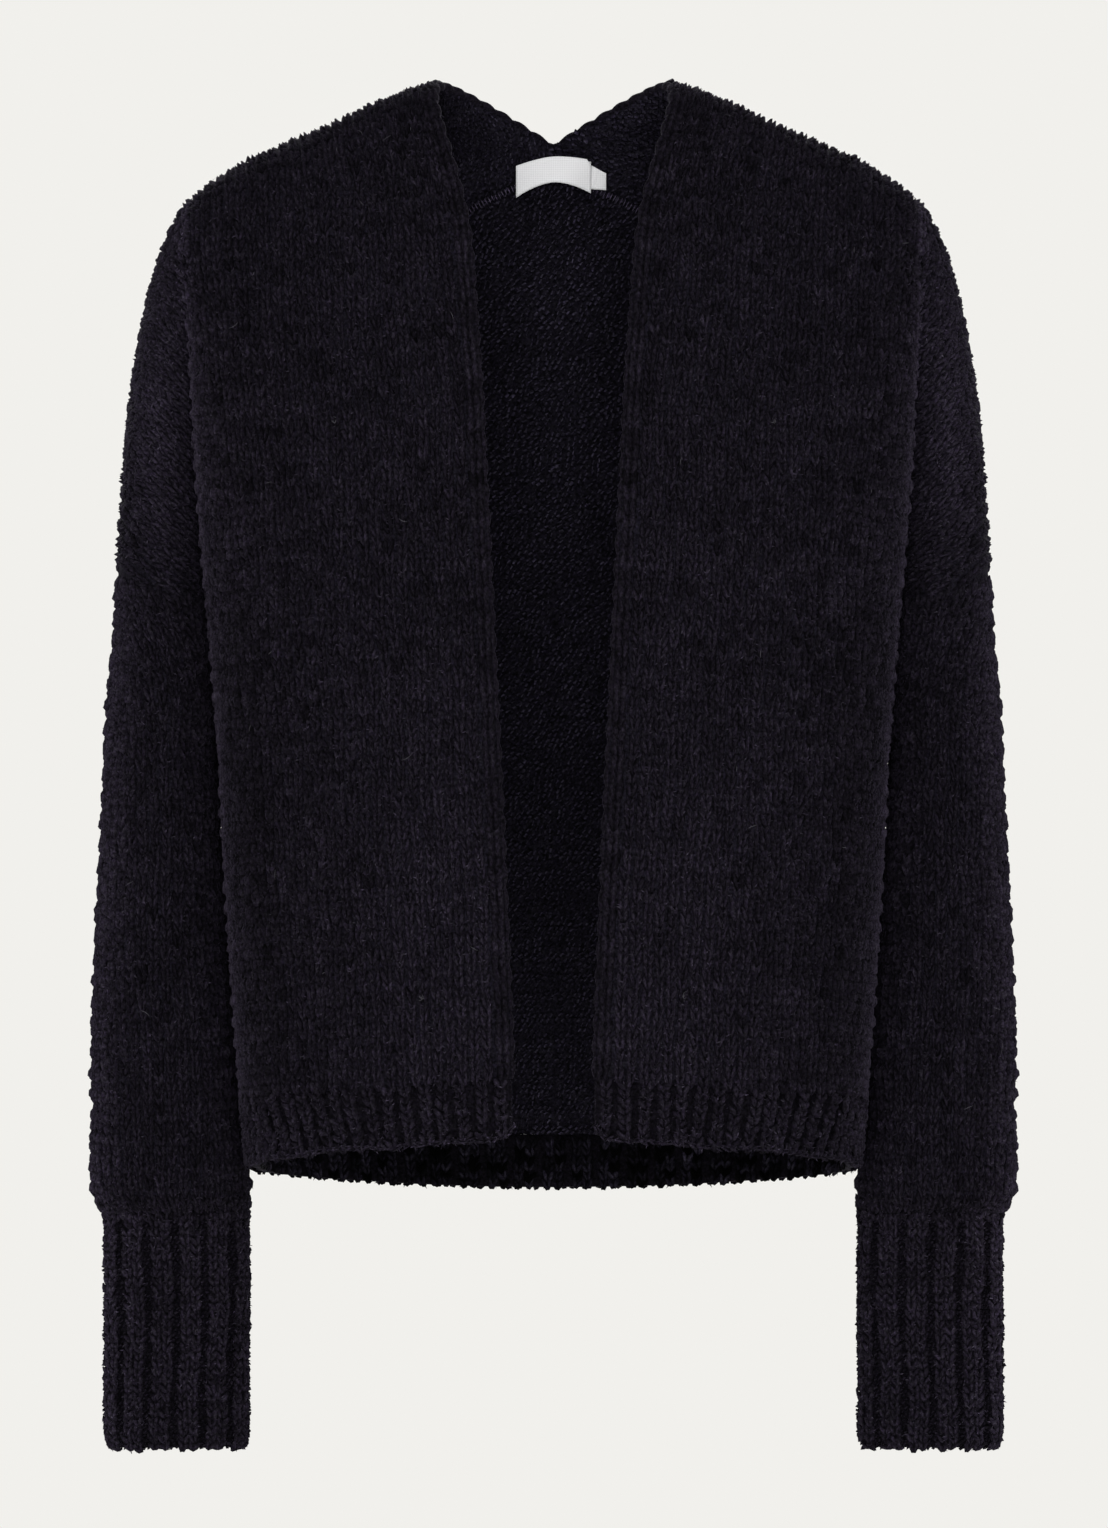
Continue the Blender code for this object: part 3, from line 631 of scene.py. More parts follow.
def finishTree(tree, given, sink, instances, lumpy):
    shaped = addNode(tree, "GeometryNodeRealizeInstances", {"Geometry": instances}).outputs["Geometry"]
    if lumpy:
        lumps = addNode(tree, "ShaderNodeTexNoise", {"Scale": yarn["lumpScale"], "Detail": 1.0})
        middle = addNode(tree, "ShaderNodeVectorMath", {0: lumps.outputs["Color"], 1: (0.5, 0.5, 0.5)},
                         operation="SUBTRACT")
        shift = scaled(tree, middle.outputs["Vector"], given["Lumps"])
        shaped = addNode(tree, "GeometryNodeSetPosition", {"Geometry": shaped, "Offset": shift}).outputs["Geometry"]
    coloured = addNode(tree, "GeometryNodeSetMaterial", {"Geometry": shaped, "Material": given["Yarn"]})
    setInputs(tree, sink, {"Geometry": coloured.outputs["Geometry"]})


def stitchTree():
    # Sets one stitch on each point, turned to the cloth and along its wale.
    tree, ids, given, sink = treeWith("layStitches", (
        ("Geometry", "Geometry", None), ("Stitch", "Object", None), ("Yarn", "Material", None),
        ("Wander", "Float", 0.12), ("Lumps", "Float", 0.0016), ("Seed", "Int", 3)))
    out, along, size = (addNode(tree, "GeometryNodeInputNamedAttribute", {"Name": name}, data_type="FLOAT_VECTOR")
                        .outputs["Attribute"] for name in pointFields)
    turn = addNode(tree, "FunctionNodeAxesToRotation", {"Primary Axis": out, "Secondary Axis": along},
                   primary_axis="Z", secondary_axis="Y").outputs["Rotation"]
    laid = laidOn(tree, given, given["Geometry"], given["Stitch"], turn, size)
    finishTree(tree, given, sink, laid, True)
    return tree, ids


def fuzzTree():
    # Short loose fibres that stand out of the brushed stitches.
    tree, ids, given, sink = treeWith("brushFuzz", (
        ("Geometry", "Geometry", None), ("Fibre", "Object", None), ("Yarn", "Material", None),
        ("Per Square Metre", "Float", 60000.0), ("Length", "Float", 0.004), ("Wander", "Float", 0.35),
        ("Seed", "Int", 5)))
    spots = addNode(tree, "GeometryNodeDistributePointsOnFaces", {
        "Mesh": given["Geometry"], "Density": given["Per Square Metre"], "Seed": given["Seed"]}).outputs
    vary = addNode(tree, "FunctionNodeRandomValue", data_type="FLOAT")
    setInputs(tree, vary, {2: yarn["fibreLengths"][0], 3: yarn["fibreLengths"][1]})
    grown = maths(tree, "MULTIPLY", given["Length"], vary.outputs[1])
    laid = laidOn(tree, given, spots["Points"], given["Fibre"], spots["Rotation"], grown, yarn["fibreSpin"])
    finishTree(tree, given, sink, laid, False)
    return tree, ids


trees = {"stitch": stitchTree(), "fuzz": fuzzTree()}


def trianglesOf(mesh):
    return sum(len(p.vertices) - 2 for p in mesh.polygons)


def plainFrom(name, holder, tree, settings):
    # Runs a tree on a holder object and keeps its result as a plain mesh.
    group, ids = trees[tree]
    modifier = holder.modifiers.new(tree, "NODES")
    modifier.node_group = group
    for label, value in settings.items():
        modifier[ids[label]] = value
    graph = bpy.context.evaluated_depsgraph_get()
    made = bpy.data.meshes.new_from_object(holder.evaluated_get(graph), depsgraph=graph)
    holder.modifiers.remove(modifier)
    made.name = name
    for label in pointFields:
        if label in made.attributes:
            made.attributes.remove(made.attributes[label])
    made.polygons.foreach_set("use_smooth", [True] * len(made.polygons))
    print(name, trianglesOf(made), "triangles")
    return linked(name, made)


def layStitches(name, lattice, shape, material, wander, seed, lumps=0.0016):
    places, out, along, size, shade = (np.concatenate(part) for part in zip(*lattice))
    mesh = newMesh(name + "Points", (places / 1000.0).tolist(), [])
    for label, values in zip(pointFields, (out, along, size / 1000.0)):
        setField(mesh, label, values, "FLOAT_VECTOR")
    setField(mesh, "shade", shade)
    holder = linked(name + "Points", mesh)
    obj = plainFrom(name, holder, "stitch", {"Stitch": shapes[shape], "Yarn": material, "Wander": wander,
                                             "Lumps": lumps, "Seed": seed})
    bpy.data.objects.remove(holder)
    return obj


# A wave of the sway is its height, its length and how much it shifts with each wale's turn.
gauge = {"wale": 6.6, "row": 5.6, "relief": 2.0, "wander": 0.17, "inWander": 0.4, "shadeSpread": 0.21,
         "sizes": (0.87, 1.13), "sway": 0.7, "waves": ((1.0, 21.0, 0.31), (0.6, 8.7, 1.7)), "jitter": 0.2,
         "swell": 12.4, "swellHigh": 0.5, "swellSize": 0.15, "firm": 0.4, "turn": 0.4, "edgeWide": 9.0,
         "armLean": 4.2, "armWide": 1.13, "wall": (-0.5, 5.0), "perRow": 3, "roundUp": 0.35, "stretch": 0.08,
         "look": 0.3, "creaseRoom": 0.15, "stopBefore": 0.2}
wrongSide = {"inside": 5.0, "relief": 2.1}
chain = {"inset": 4.4, "wide": 8.2, "pitch": 7.4, "relief": 2.2, "sway": 0.15, "wander": 0.14}
dice = np.random.default_rng(11)
under, creaseTop = grain["low"], grain["low"] + grain["crease"]


def layLine(grid, normals, colAt, width, relief, pitch=gauge["row"], span=None, turn=0.0, lighter=0.0, lift=0.0,
            sway=None):
    # Stitches along one wale of a patch, as a list of one, or an empty list where the wale has no room.
    # colAt gives the wale's column at each row of the patch. A wale with a sway of its own lies firmer.
    first, last = span or (0.0, grid.shape[1] - 1.0)
    js = np.linspace(first, last, max(4, int((last - first) * gauge["perRow"])))
    js = js[(colAt(js) >= 0.0) & (colAt(js) <= grid.shape[0] - 1.0)]
    if len(js) < 3:
        return []
    steps = stepsOf(sampled(grid, colAt(js), js))
    count = int(steps[-1] / pitch + gauge["roundUp"])
    if count < 1:
        return []
    if abs(steps[-1] / count - pitch) < gauge["stretch"] * pitch:
        pitch = steps[-1] / count
    at = (np.arange(count) + 0.5) * pitch
    at = at[at < steps[-1]]
    j = np.interp(at, steps, js)
    place, out = sampled(grid, colAt(j), j), unit(sampled(normals, colAt(j), j))
    ahead, behind = np.minimum(j + gauge["look"], js[-1]), np.maximum(j - gauge["look"], js[0])
    along = unit(sampled(grid, colAt(ahead), ahead) - sampled(grid, colAt(behind), behind))
    wide = width(j) if callable(width) else np.full(len(j), width)
    size = np.stack([wide, np.full(len(j), pitch), np.full(len(j), relief)], axis=1)
    size *= dice.uniform(*gauge["sizes"], size.shape)
    wave = np.sin(2 * math.pi * at / gauge["swell"] + turn)
    size[:, 2] *= 1.0 + gauge["swellSize"] * wave
    jitter = dice.normal(0.0, gauge["jitter"], place.shape) + out * (gauge["swellHigh"] * wave)[:, None]
    if sway is None:
        sway = gauge["sway"]
    else:
        jitter = gauge["firm"] * jitter
    drift = sway * sum(high * np.sin(at / long + shift * turn) for high, long, shift in gauge["waves"])
    shade = dice.normal(0.0, gauge["shadeSpread"], len(j)) + lighter
    return [(place + jitter + out * lift + np.cross(along, out) * drift[:, None], out, along, size, shade)]


def sided(lattice, flip):
    return [(place * flip, out * flip, along * flip, size, shade) for place, out, along, size, shade in lattice]


def spread(grid, col, j):
    # Millimetres of cloth to one column of the patch, there.
    a, b = np.clip(col - 0.5, 0, grid.shape[0] - 1), np.clip(col + 0.5, 0, grid.shape[0] - 1)
    return np.linalg.norm(sampled(grid, b, j) - sampled(grid, a, j), axis=1) / np.maximum(b - a, 1e-6)


def facing(grid, outward, inside):
    # The patch and its outward directions, or its wrong side, which lies deeper by inside.
    normals = gridNormals(grid, outward)
    return (grid - normals * inside, -normals) if inside else (grid, normals)


def acrossSteps(grid):
    return np.r_[0.0, np.cumsum(np.linalg.norm(np.diff(grid, axis=0), axis=2).mean(axis=1))]


def bodyWales(grid, outward, startAt=0.0, inside=0.0, relief=gauge["relief"]):
    # Wales of a body panel: evenly spaced below the underarm, then at one distance up to the crease or the top.
    grid, normals = facing(grid, outward, inside)
    width = np.linalg.norm(np.diff(grid, axis=0), axis=2).sum(axis=0)
    cols, last, ref = grid.shape[0] - 1, grid.shape[1] - 1, width[under]
    count = int(round((ref - startAt) / gauge["wale"]))
    wale = (ref - startAt) / count
    laid = []
    for k in range(count):
        d = startAt + (k + 0.5) * wale

        def colAt(j):
            w = np.interp(np.minimum(j, creaseTop), np.arange(len(width)), width)
            return np.where(j <= under, cols * d / ref, cols * d / w)

        over = np.nonzero(colAt(np.arange(last + 1)) > cols - gauge["creaseRoom"])[0]
        top = float(over[0]) - gauge["stopBefore"] if len(over) else last
        laid += layLine(grid, normals, colAt, lambda j: spread(grid, colAt(j), j) * (colAt(j) / d) * wale, relief,
                        span=(0.0, top), turn=gauge["turn"] * k)
    return laid


def crossWales(grid, outward, inside=0.0, relief=gauge["relief"]):
    # Wales that run along the patch's second direction, one beside the other along its first.
    grid, normals = facing(grid, outward, inside)
    steps = acrossSteps(grid)
    index, count = np.arange(len(steps)), int(round(steps[-1] / gauge["wale"]))
    laid = []
    for k in range(count):
        col = float(np.interp((k + 0.5) * steps[-1] / count, steps, index))
        local = (np.interp(col + 0.4, index, steps) - np.interp(col - 0.4, index, steps)) / 0.8

        def colAt(j):
            return np.full(np.shape(j), col)

        laid += layLine(grid, normals, colAt,
                        lambda j: spread(grid, colAt(j), j) / max(local, 1e-6) * steps[-1] / count, relief,
                        turn=gauge["turn"] * k)
    return laid


def capWales(grid):
    # Wales of the arm cap. They climb from the fold to the top of the arm and drop again behind it.
    normals, steps = gridNormals(grid, 1.0), acrossSteps(grid)
    cols, last = grid.shape[0] - 1.0, grid.shape[1] - 1.0
    lean, pitch = gauge["armLean"], gauge["wale"] * gauge["armWide"]
    laid = []
    for k in range(int((steps[-1] + lean * steps[-1] / cols) / pitch)):
        d = (k + 0.5) * pitch
        col = np.interp(d, steps, np.arange(len(steps))) + max(0.0, d - steps[-1]) * cols / steps[-1]
        for span in ((0.0, last / 2), (last / 2, last)):
            laid += layLine(grid, normals, lambda j: col - lean * np.sin(math.pi * j / last), gauge["wale"],
                            gauge["relief"], span=span, turn=gauge["turn"] * k)
    return laid


def edgeChain(grid):
    # One wale of long stitches along the first edge of a patch.
    def colAt(j):
        wide = np.linalg.norm(sampled(grid, np.ones(len(j)), j) - sampled(grid, np.zeros(len(j)), j), axis=1)
        return chain["inset"] / np.maximum(wide, 0.5)

    return layLine(grid, gridNormals(grid, 1.0), colAt, chain["wide"], chain["relief"], chain["pitch"],
                   sway=chain["sway"])


# Painted light and shade laid on the knit: painted highlights on the side fold, the arm's cap, low beside the front
# edge and along the outer arm, and painted shade within the fold and low inside the back. Each place has the middle
# and the width in x and in z.
paintedLight = {"fold": 1.3, "foldWide": 2.4, "side": -0.2, "sideIn": 20.0, "sideWide": 16.0, "sideBelow": -290.0,
        "cap": (1.0, 216.0, 20.0, -180.0, 80.0), "frontLow": (0.38, 50.0, 55.0, -490.0, 130.0),
        "insideLow": -0.15, "insideFrom": -180.0, "insideLong": 300.0, "outerArm": 0.85, "armIn": 2.0,
        "armWide": 12.0}


def bell(value, middle, wide):
    return np.exp(-(((value - middle) / wide) ** 2))


def paintedPatch(name, x, z):
    amount, midX, wideX, midZ, wideZ = paintedLight[name]
    return amount * bell(x, midX, wideX) * bell(z, midZ, wideZ)


# Adds painted light and shade to the shade of each stitch.
def withPaintedLight(lattice, rule):
    return [(place, out, along, size, shade + rule(place[:, 0], place[:, 2]))
            for place, out, along, size, shade in lattice]


def frontPaintedLight(x, z):
    # Painted highlights along the side fold, on the arm's cap and low beside the front edge, and painted shade within
    # the fold.
    fold = np.interp(z, frontTable["z"][::-1], frontTable["endX"][::-1])
    return (paintedLight["fold"] * bell(x, fold, paintedLight["foldWide"]) + paintedPatch("cap", x, z) + paintedPatch("frontLow", x, z)
            + paintedLight["side"] * bell(x, fold - paintedLight["sideIn"], paintedLight["sideWide"]) * (z < paintedLight["sideBelow"]))


# Painted highlight along the outer side of the sleeve and of the cuff.
def armPaintedLight(x, z):
    outer = np.interp(z, sleeveTable["z"][::-1], sleeveTable["outX"][::-1])
    return paintedLight["outerArm"] * bell(x, outer - paintedLight["armIn"], paintedLight["armWide"])


# Painted shade, growing towards the bottom of the inside of the back.
def insidePaintedShade(x, z):
    return paintedLight["insideLow"] * np.clip((paintedLight["insideFrom"] - z) / paintedLight["insideLong"], 0.0, 1.0)


frontLattice = withPaintedLight(bodyWales(front, 1.0, gauge["edgeWide"]) + capWales(arm), frontPaintedLight)
chainLattice = edgeChain(front)
backLattice = bodyWales(back, -1.0) + crossWales(rear, -1.0)
sleeveUp = sleeve[::-1].transpose(1, 0, 2)
sleeveLattice = withPaintedLight(crossWales(sleeveUp, 1.0), armPaintedLight)
insideLattice = withPaintedLight(bodyWales(back, -1.0, **wrongSide), insidePaintedShade)
yokeLattice = crossWales(front[:, creaseTop + grain["overFront"] - 6:], 1.0, **wrongSide)
print("lattice", sum(len(part[0]) for part in frontLattice), "front stitches")

roll = {"step": 2.2, "deep": 2.75, "high": 2.6, "back": 0.3, "out": 0.9, "scallop": 1.5, "scallopLong": 12.6,
        "uneven": 0.6, "unevenLong": 31.0, "depth": (0.5, 0.5)}


def edgeRoll(grid, flip):
    # Soft roll that closes the wall along the front edge, from the hem to the back of the neck.
    steps = stepsOf(grid[0])
    at = np.linspace(0.0, steps[-1], int(steps[-1] / roll["step"]))
    line, out, side = (alongLine(at, steps, part)
                       for part in (grid[0], gridNormals(grid, 1.0)[0], unit(grid[0] - grid[1])))
    phase = math.pi * at / roll["scallopLong"] + roll["uneven"] * np.sin(at / roll["unevenLong"])
    scallop = roll["out"] + roll["scallop"] * np.abs(np.sin(phase))
    rings = []
    for turn in np.linspace(-90.0, 90.0, 10):
        c, s = math.cos(math.radians(turn)), math.sin(math.radians(turn))
        rings.append(line - out * roll["deep"] + out * (roll["high"] * s)
                     + side * (scallop * c - roll["back"])[:, None])
    rings = np.array(rings)
    return rings.reshape(-1, 3) * flip, quadsOf(rings, turned=flip[0] > 0).tolist()


def keepCloth(node, name, grids, wall, material, depth, side="", underarm=None):
    flip = flips.get(side, flips["_left"])
    shell = shellOf([(grid * flip, turned != (flip[0] < 0)) for grid, turned in grids], *wall,
                    None if underarm is None else underarm * flip)
    keep(node + side, meshPiece(name + side, *shell, material, depth))


def keepKnit(node, name, lattice, *look, side=""):
    keep(node + side, layStitches(name + side, sided(lattice, flips.get(side, 1.0)), *look))


underarm, mirror = front[-1, under], flips["_right"]
for side, flip in flips.items():
    keepCloth("front", "frontCloth", [(front, False), (arm, False)], gauge["wall"], innerWool, (0.10, 0.16), side,
              underarm)
    keepCloth("sleeve", "sleeveCloth", [(sleeve, False)], gauge["wall"], innerWool, (0.10, 0.3), side, underarm)
    keep("front" + side, meshPiece("edgeRoll" + side, *edgeRoll(front, flip), knitWool, roll["depth"]))
    keepKnit("front", "frontKnit", frontLattice, "vee", knitWool, gauge["wander"], 3, side=side)
    keepKnit("front", "edgeChain", chainLattice, "chain", knitWool, chain["wander"], 4, side=side)
    keepKnit("sleeve", "sleeveKnit", sleeveLattice, "vee", knitWool, gauge["wander"], 5, side=side)
    keepKnit("front", "yokePurl", yokeLattice, "arcs", innerWool, gauge["inWander"], 7, side=side)
keepCloth("back", "backCloth", [(back, True), (rear, True), (back * mirror, False), (rear * mirror, False)],
          gauge["wall"], innerWool, (0.10, 0.04))
keepKnit("back", "backKnit", backLattice + sided(backLattice, mirror), "vee", knitWool, gauge["wander"], 9)
keepKnit("back", "backPurl", insideLattice + sided(insideLattice, mirror), "arcs", innerWool, gauge["inWander"], 13)

# Each rib is a few columns wide. The stitches of a kind have their width, their lift and how much lighter they are;
# the back hem's inner stitches and the stitches in the grooves are darker by painted shade.
ribs = {"front": 22, "back": 28, "cuff": 12, "hemCols": 4, "cuffCols": 8, "row": 4.4, "relief": 1.6, "slant": 26.0,
        "hemLong": 246.0, "valley": 1.3, "sway": 0.95, "turn": 1.3, "wander": 0.36, "innerWander": 0.35,
        "hemWall": (-0.4, 4.2), "cuffWall": (-0.4, 4.0), "frontCrest": 0.5, "crest": 0.6, "edgeIn": 0.6, "inner": 4.6}
ribStitches = {"frontHem": {"wide": 7.5, "lift": 0.7, "relief": 2.0, "lighter": 0.2},
               "castOn": {"wide": 3.0, "lift": 0.7, "lighter": 0.7},
               "backHem": {"wide": 6.0, "lift": 0.6, "offsets": (-0.72, 0.72)},
               "backInner": {"wide": 6.2, "lift": 1.1, "offsets": (-0.72, 0.72), "lighter": -0.8},
               "cuff": {"wide": 6.3, "lift": 0.5, "offsets": (-1.45, 1.45), "lighter": 0.34, "relief": 1.3},
               "join": {"wide": 6.4, "lift": 0.3, "lighter": -0.1},
               # Painted shade in the grooves and on their corners.
               "groove": {"wide": 5.9, "lift": -0.55, "lighter": -0.05},
               "corner": {"wide": 5.9, "lift": 0.25, "lighter": -0.05}}


def ribLattice(kind, grid, normals, centres, slant=None):
    look = {"offsets": (0.0,), "relief": ribs["relief"], "lighter": 0.0, **ribStitches[kind]}
    rows, laid = grid.shape[1] - 1.0, []
    for n, centre in enumerate(centres):
        for offset in look["offsets"]:
            def colAt(j):
                lean = 0.0 if slant is None else slant(centre + offset) * (1.0 - j / rows)
                return np.full(np.shape(j), centre + offset) - lean

            laid += layLine(grid, normals, colAt, look["wide"], look["relief"], ribs["row"], turn=ribs["turn"] * n,
                            lighter=look["lighter"], lift=look["lift"], sway=ribs["sway"])
    return laid


def hemGrid(maker, top, low, cols):
    # Columns along the hem, rows from its lower edge up.
    parts = np.linspace(0.0, 1.0, cols + 1)
    return np.array(rowsBetween(maker, low(parts), top(parts), cols, hem["rows"])).transpose(1, 0, 2)


def ribbed(grid, normals, perRib, crest, slant=None, edge=0.0):
    # Rounded ribs with sunk grooves between them, drawn in a little at the lower edge.
    i, j = np.meshgrid(np.arange(grid.shape[0]), np.arange(grid.shape[1]), indexing="ij")
    lean = 0.0 if slant is None else slant(i) * (1.0 - j / (grid.shape[1] - 1.0))
    wave = np.cos(2 * math.pi * ((i + lean) / perRib - 0.5))
    height = np.where(wave > 0, wave * crest, wave * ribs["valley"]) - edge * (j == 0)
    return grid + normals * height[..., None]


def frontLow(part):
    drop = hem["frontEdge"] + (hem["side"] - hem["frontEdge"]) * part
    return (drop + hem["corner"] * np.maximum(0.0, 1.0 - part / hem["cornerLong"]) ** 2
            + hem["rise"] * np.maximum(0.0, 1.0 - part / hem["riseLong"]))


def backLow(part):
    return hem["back"] + (hem["side"] - hem["back"]) * part**2


def hemLean(col):
    # The ribs of the front hems lean in towards the sides.
    cols = ribs["front"] * ribs["hemCols"]
    return ribs["slant"] * cols / ribs["hemLong"] * np.clip(col / cols, 0.0, 1.1) ** 1.5


def creasedHem(grid, out):
    return grid - out * creaseDepth(grid.reshape(-1, 3)).reshape(grid.shape[:2])[..., None]


def centresOf(count, cols):
    return (np.arange(count) + 0.5) * cols


frontHem = hemGrid(frontLine, frontHemTop, frontLow, ribs["front"] * ribs["hemCols"])
frontHemOut = gridNormals(frontHem, 1.0)
frontHemOut[..., 2] = 0.0
frontHem = creasedHem(frontHem, frontHemOut)
backHemHalf = hemGrid(backLine, backHemTop, backLow, ribs["back"] * ribs["hemCols"] // 2)
backHem = np.concatenate([backHemHalf[1:][::-1] * mirror, backHemHalf])
backHemOut = gridNormals(backHem, -1.0)
backHem = creasedHem(backHem, backHemOut)
for side in flips:
    cloth = ribbed(frontHem, frontHemOut, ribs["hemCols"], ribs["frontCrest"], hemLean, ribs["edgeIn"])
    keepCloth("hem_front", "frontHemCloth", [(cloth, False)], ribs["hemWall"], knitWool, (0.09, 0.5), side)
    # The slanting ribs need four more at the side. The cast-on edge is one row of small stitches.
    lattice = ribLattice("frontHem", frontHem, frontHemOut, centresOf(ribs["front"] + 4, ribs["hemCols"]), hemLean)
    lattice += ribLattice("castOn", frontHem.transpose(1, 0, 2), frontHemOut.transpose(1, 0, 2), (0.1,))
    keepKnit("hem_front", "frontHemKnit", lattice, "ribVee", knitWool, ribs["wander"], 15, side=side)
cloth = ribbed(backHem, backHemOut, ribs["hemCols"], ribs["crest"], edge=ribs["edgeIn"])
keepCloth("hem_back", "backHemCloth", [(cloth, True)], ribs["hemWall"], knitWool, (0.1, 0.0))
centres = centresOf(ribs["back"], ribs["hemCols"])
lattice = ribLattice("backHem", backHem, backHemOut, centres)
keepKnit("hem_back", "backHemKnit", lattice, "ribVee", knitWool, ribs["wander"], 17)
lattice = ribLattice("backInner", backHem - backHemOut * ribs["inner"], -backHemOut, centres - ribs["hemCols"] / 2)
keepKnit("hem_back", "backHemInner", lattice, "ribVee", innerWool, ribs["innerWander"], 19)

# Rings of the cuff from its lower edge up, drawn in there, and the rings of the round of stitches over its join.
cuff = {"inX": 166.3, "outX": 242.6, "midY": 22.0, "halfY": 17.0, "square": 0.85, "drawY": 0.6, "joinSquare": 0.87,
        "joinStitches": 31, "joinCols": 3,
        "rings": ((-741, 3.6), (-738.2, 0.8), (-733, 0), (-712, 0), (-690, 0), (-668, 0), (-646, 0), (-628, 0),
                  (-612.3, 0)),
        "join": ((166.3, 242.6, 22.0, 17.0, -617.5), (166.3, 242.9, 22.0, 17.5, -612.0),
                 (165.9, 246.2, 22.4, 21.4, -608.8), (165.7, 248.2, 22.8, 24.6, -605.0))}
cuffCols = ribs["cuff"] * ribs["cuffCols"]
cuffGrid = np.array([ovalRing(cuff["inX"] + draw, cuff["outX"] - draw, cuff["midY"],
                              cuff["halfY"] - cuff["drawY"] * draw, z, cuffCols, cuff["square"])
                     for z, draw in cuff["rings"]]).transpose(1, 0, 2)
cuffOut = gridNormals(cuffGrid, 1.0)
cuffOut[0] = cuffOut[-1] = unit(cuffOut[0] + cuffOut[-1])
joinGrid = np.array([ovalRing(*ring, cuff["joinStitches"] * cuff["joinCols"], cuff["joinSquare"])
                     for ring in cuff["join"]]).transpose(1, 0, 2)
joinOut = gridNormals(joinGrid, 1.0)
centres = centresOf(ribs["cuff"], ribs["cuffCols"])
# The grooves on the two side corners open wider, so more purl stitches fill them.
corners = (0.5, cuffCols / 2 - 0.5, cuffCols / 2 + 0.5, cuffCols - 0.5)
for side in flips:
    cloth = ribbed(cuffGrid, cuffOut, ribs["cuffCols"], ribs["crest"])
    keepCloth("cuff", "cuffCloth", [(cloth, False)], ribs["cuffWall"], knitWool, (0.1, 0.5), side)
    lattice = ribLattice("cuff", cuffGrid, cuffOut, centres)
    lattice += ribLattice("join", joinGrid, joinOut, centresOf(cuff["joinStitches"], cuff["joinCols"]))
    keepKnit("cuff", "cuffKnit", withPaintedLight(lattice, armPaintedLight), "ribVee", knitWool, ribs["wander"], 21, side=side)
    lattice = ribLattice("groove", cuffGrid, cuffOut, centres + ribs["cuffCols"] / 2)
    lattice += ribLattice("corner", cuffGrid, cuffOut, corners)
    keepKnit("cuff", "cuffGrooves", lattice, "arcs", knitWool, ribs["wander"], 22, side=side)
print("ribs made")

# The seam that joins the yoke to the back shows inside the neck as a flat ladder of stitches.
ladder = {"points": 161, "wide": 4.4, "rung": 2.0, "rungWide": 0.55, "high": 1.5, "inside": 6.4, "lighter": 8.0,
          "wander": 0.03, "lumps": 0.0002}


def topNormals(grid):
    count = ladder["points"]
    return sampled(gridNormals(grid, 1.0), np.linspace(0, grid.shape[0] - 1, count),
                   np.full(count, grid.shape[1] - 1.0))


seamOut = unit(topNormals(front) - topNormals(back))
inner = respace(front[:, -1], ladder["points"] - 1) - seamOut * ladder["inside"]
steps = stepsOf(inner)
at = np.arange(ladder["rung"], steps[-1], ladder["rung"])
line, out, run = (alongLine(at, steps, part) for part in (inner, -seamOut, unit(np.gradient(inner, axis=0))))
size = np.tile([ladder["wide"], ladder["rung"] * ladder["rungWide"], ladder["high"]], (len(at), 1))
lattice = [(line, unit(out), unit(run), size, np.full(len(at), ladder["lighter"]))]
for side in flips:
    keepKnit("front", "neckSeam", lattice, "bar", knitWool, ladder["wander"], 23, ladder["lumps"], side=side)

# Each edge has its height, how far its ends bow down and how far it tilts. Lift and y are the bow and the place.
label = {"cloth": (0.90, 0.90, 0.915), "rough": 0.42, "sheen": 0.2, "weave": 1900.0 / 6.0, "bump": 0.5,
         "bumpHigh": 0.0001, "distort": 0.4, "tones": {"From Max": 2.0, "To Min": 0.86, "To Max": 1.06},
         "wall": (0.0, 0.8), "bow": 1.7, "ripple": 0.25, "rippleAcross": 5.0, "rippleDown": 3.0, "leanBack": 3.5,
         "liftTop": 0.45, "liftLow": 0.55, "cols": 41, "rows": 13,
         "band": {"x": (-20.5, 20.5), "top": (-38.6, 3.4, 1.6), "low": (-52.6, 7.0, 1.2), "lift": 4.0, "y": 53.7},
         "tab": {"x": (20.3, 28.8), "top": (-45.4, 0.0, -2.4), "low": (-56.2, 0.0, -0.3), "lift": 0.0, "y": 56.0}}


def satinMaterial():
    satin, tree, shader = newMaterial("labelSatin", {"Roughness": label["rough"], "Sheen Weight": label["sheen"]})
    place = addNode(tree, "ShaderNodeTexCoord").outputs["Object"]
    weave = {"Scale": label["weave"], "Distortion": label["distort"], "Vector": place}
    both = maths(tree, "ADD", *(addNode(tree, "ShaderNodeTexWave", weave, bands_direction=way).outputs["Fac"]
                                for way in ("X", "Z")))
    tone = addNode(tree, "ShaderNodeMapRange", {"Value": both, **label["tones"]})
    bump = addNode(tree, "ShaderNodeBump", {"Strength": label["bump"], "Distance": label["bumpHigh"], "Height": both})
    setInputs(tree, shader, {"Base Color": scaled(tree, label["cloth"], tone.outputs["Result"]),
                             "Normal": bump.outputs["Normal"]})
    return satin


def labelGrid(x, top, low, lift, y):
    rows = []
    for down in np.linspace(0.0, 1.0, label["rows"]):
        row = []
        for at in np.linspace(*x, label["cols"]):
            part = 2 * (at - x[0]) / (x[1] - x[0]) - 1
            high, foot = (mid - bow * abs(part) ** label["bow"] + tilt * part for mid, bow, tilt in (top, low))
            ripple = label["ripple"] * math.sin(label["rippleAcross"] * part + label["rippleDown"] * down)
            bulge = lift * (1 - part**2) * (label["liftTop"] + label["liftLow"] * down)
            row.append((at, y - bulge + label["leanBack"] * down + ripple, high + (foot - high) * down))
        rows.append(row)
    return np.array(rows)


labelSatin = satinMaterial()
for node, name, cut in (("neck_label", "labelBand", "band"), ("size_tab", "labelTab", "tab")):
    keepCloth(node, name, [(labelGrid(**label[cut]), False)], label["wall"], labelSatin, (0.06, 0.45))

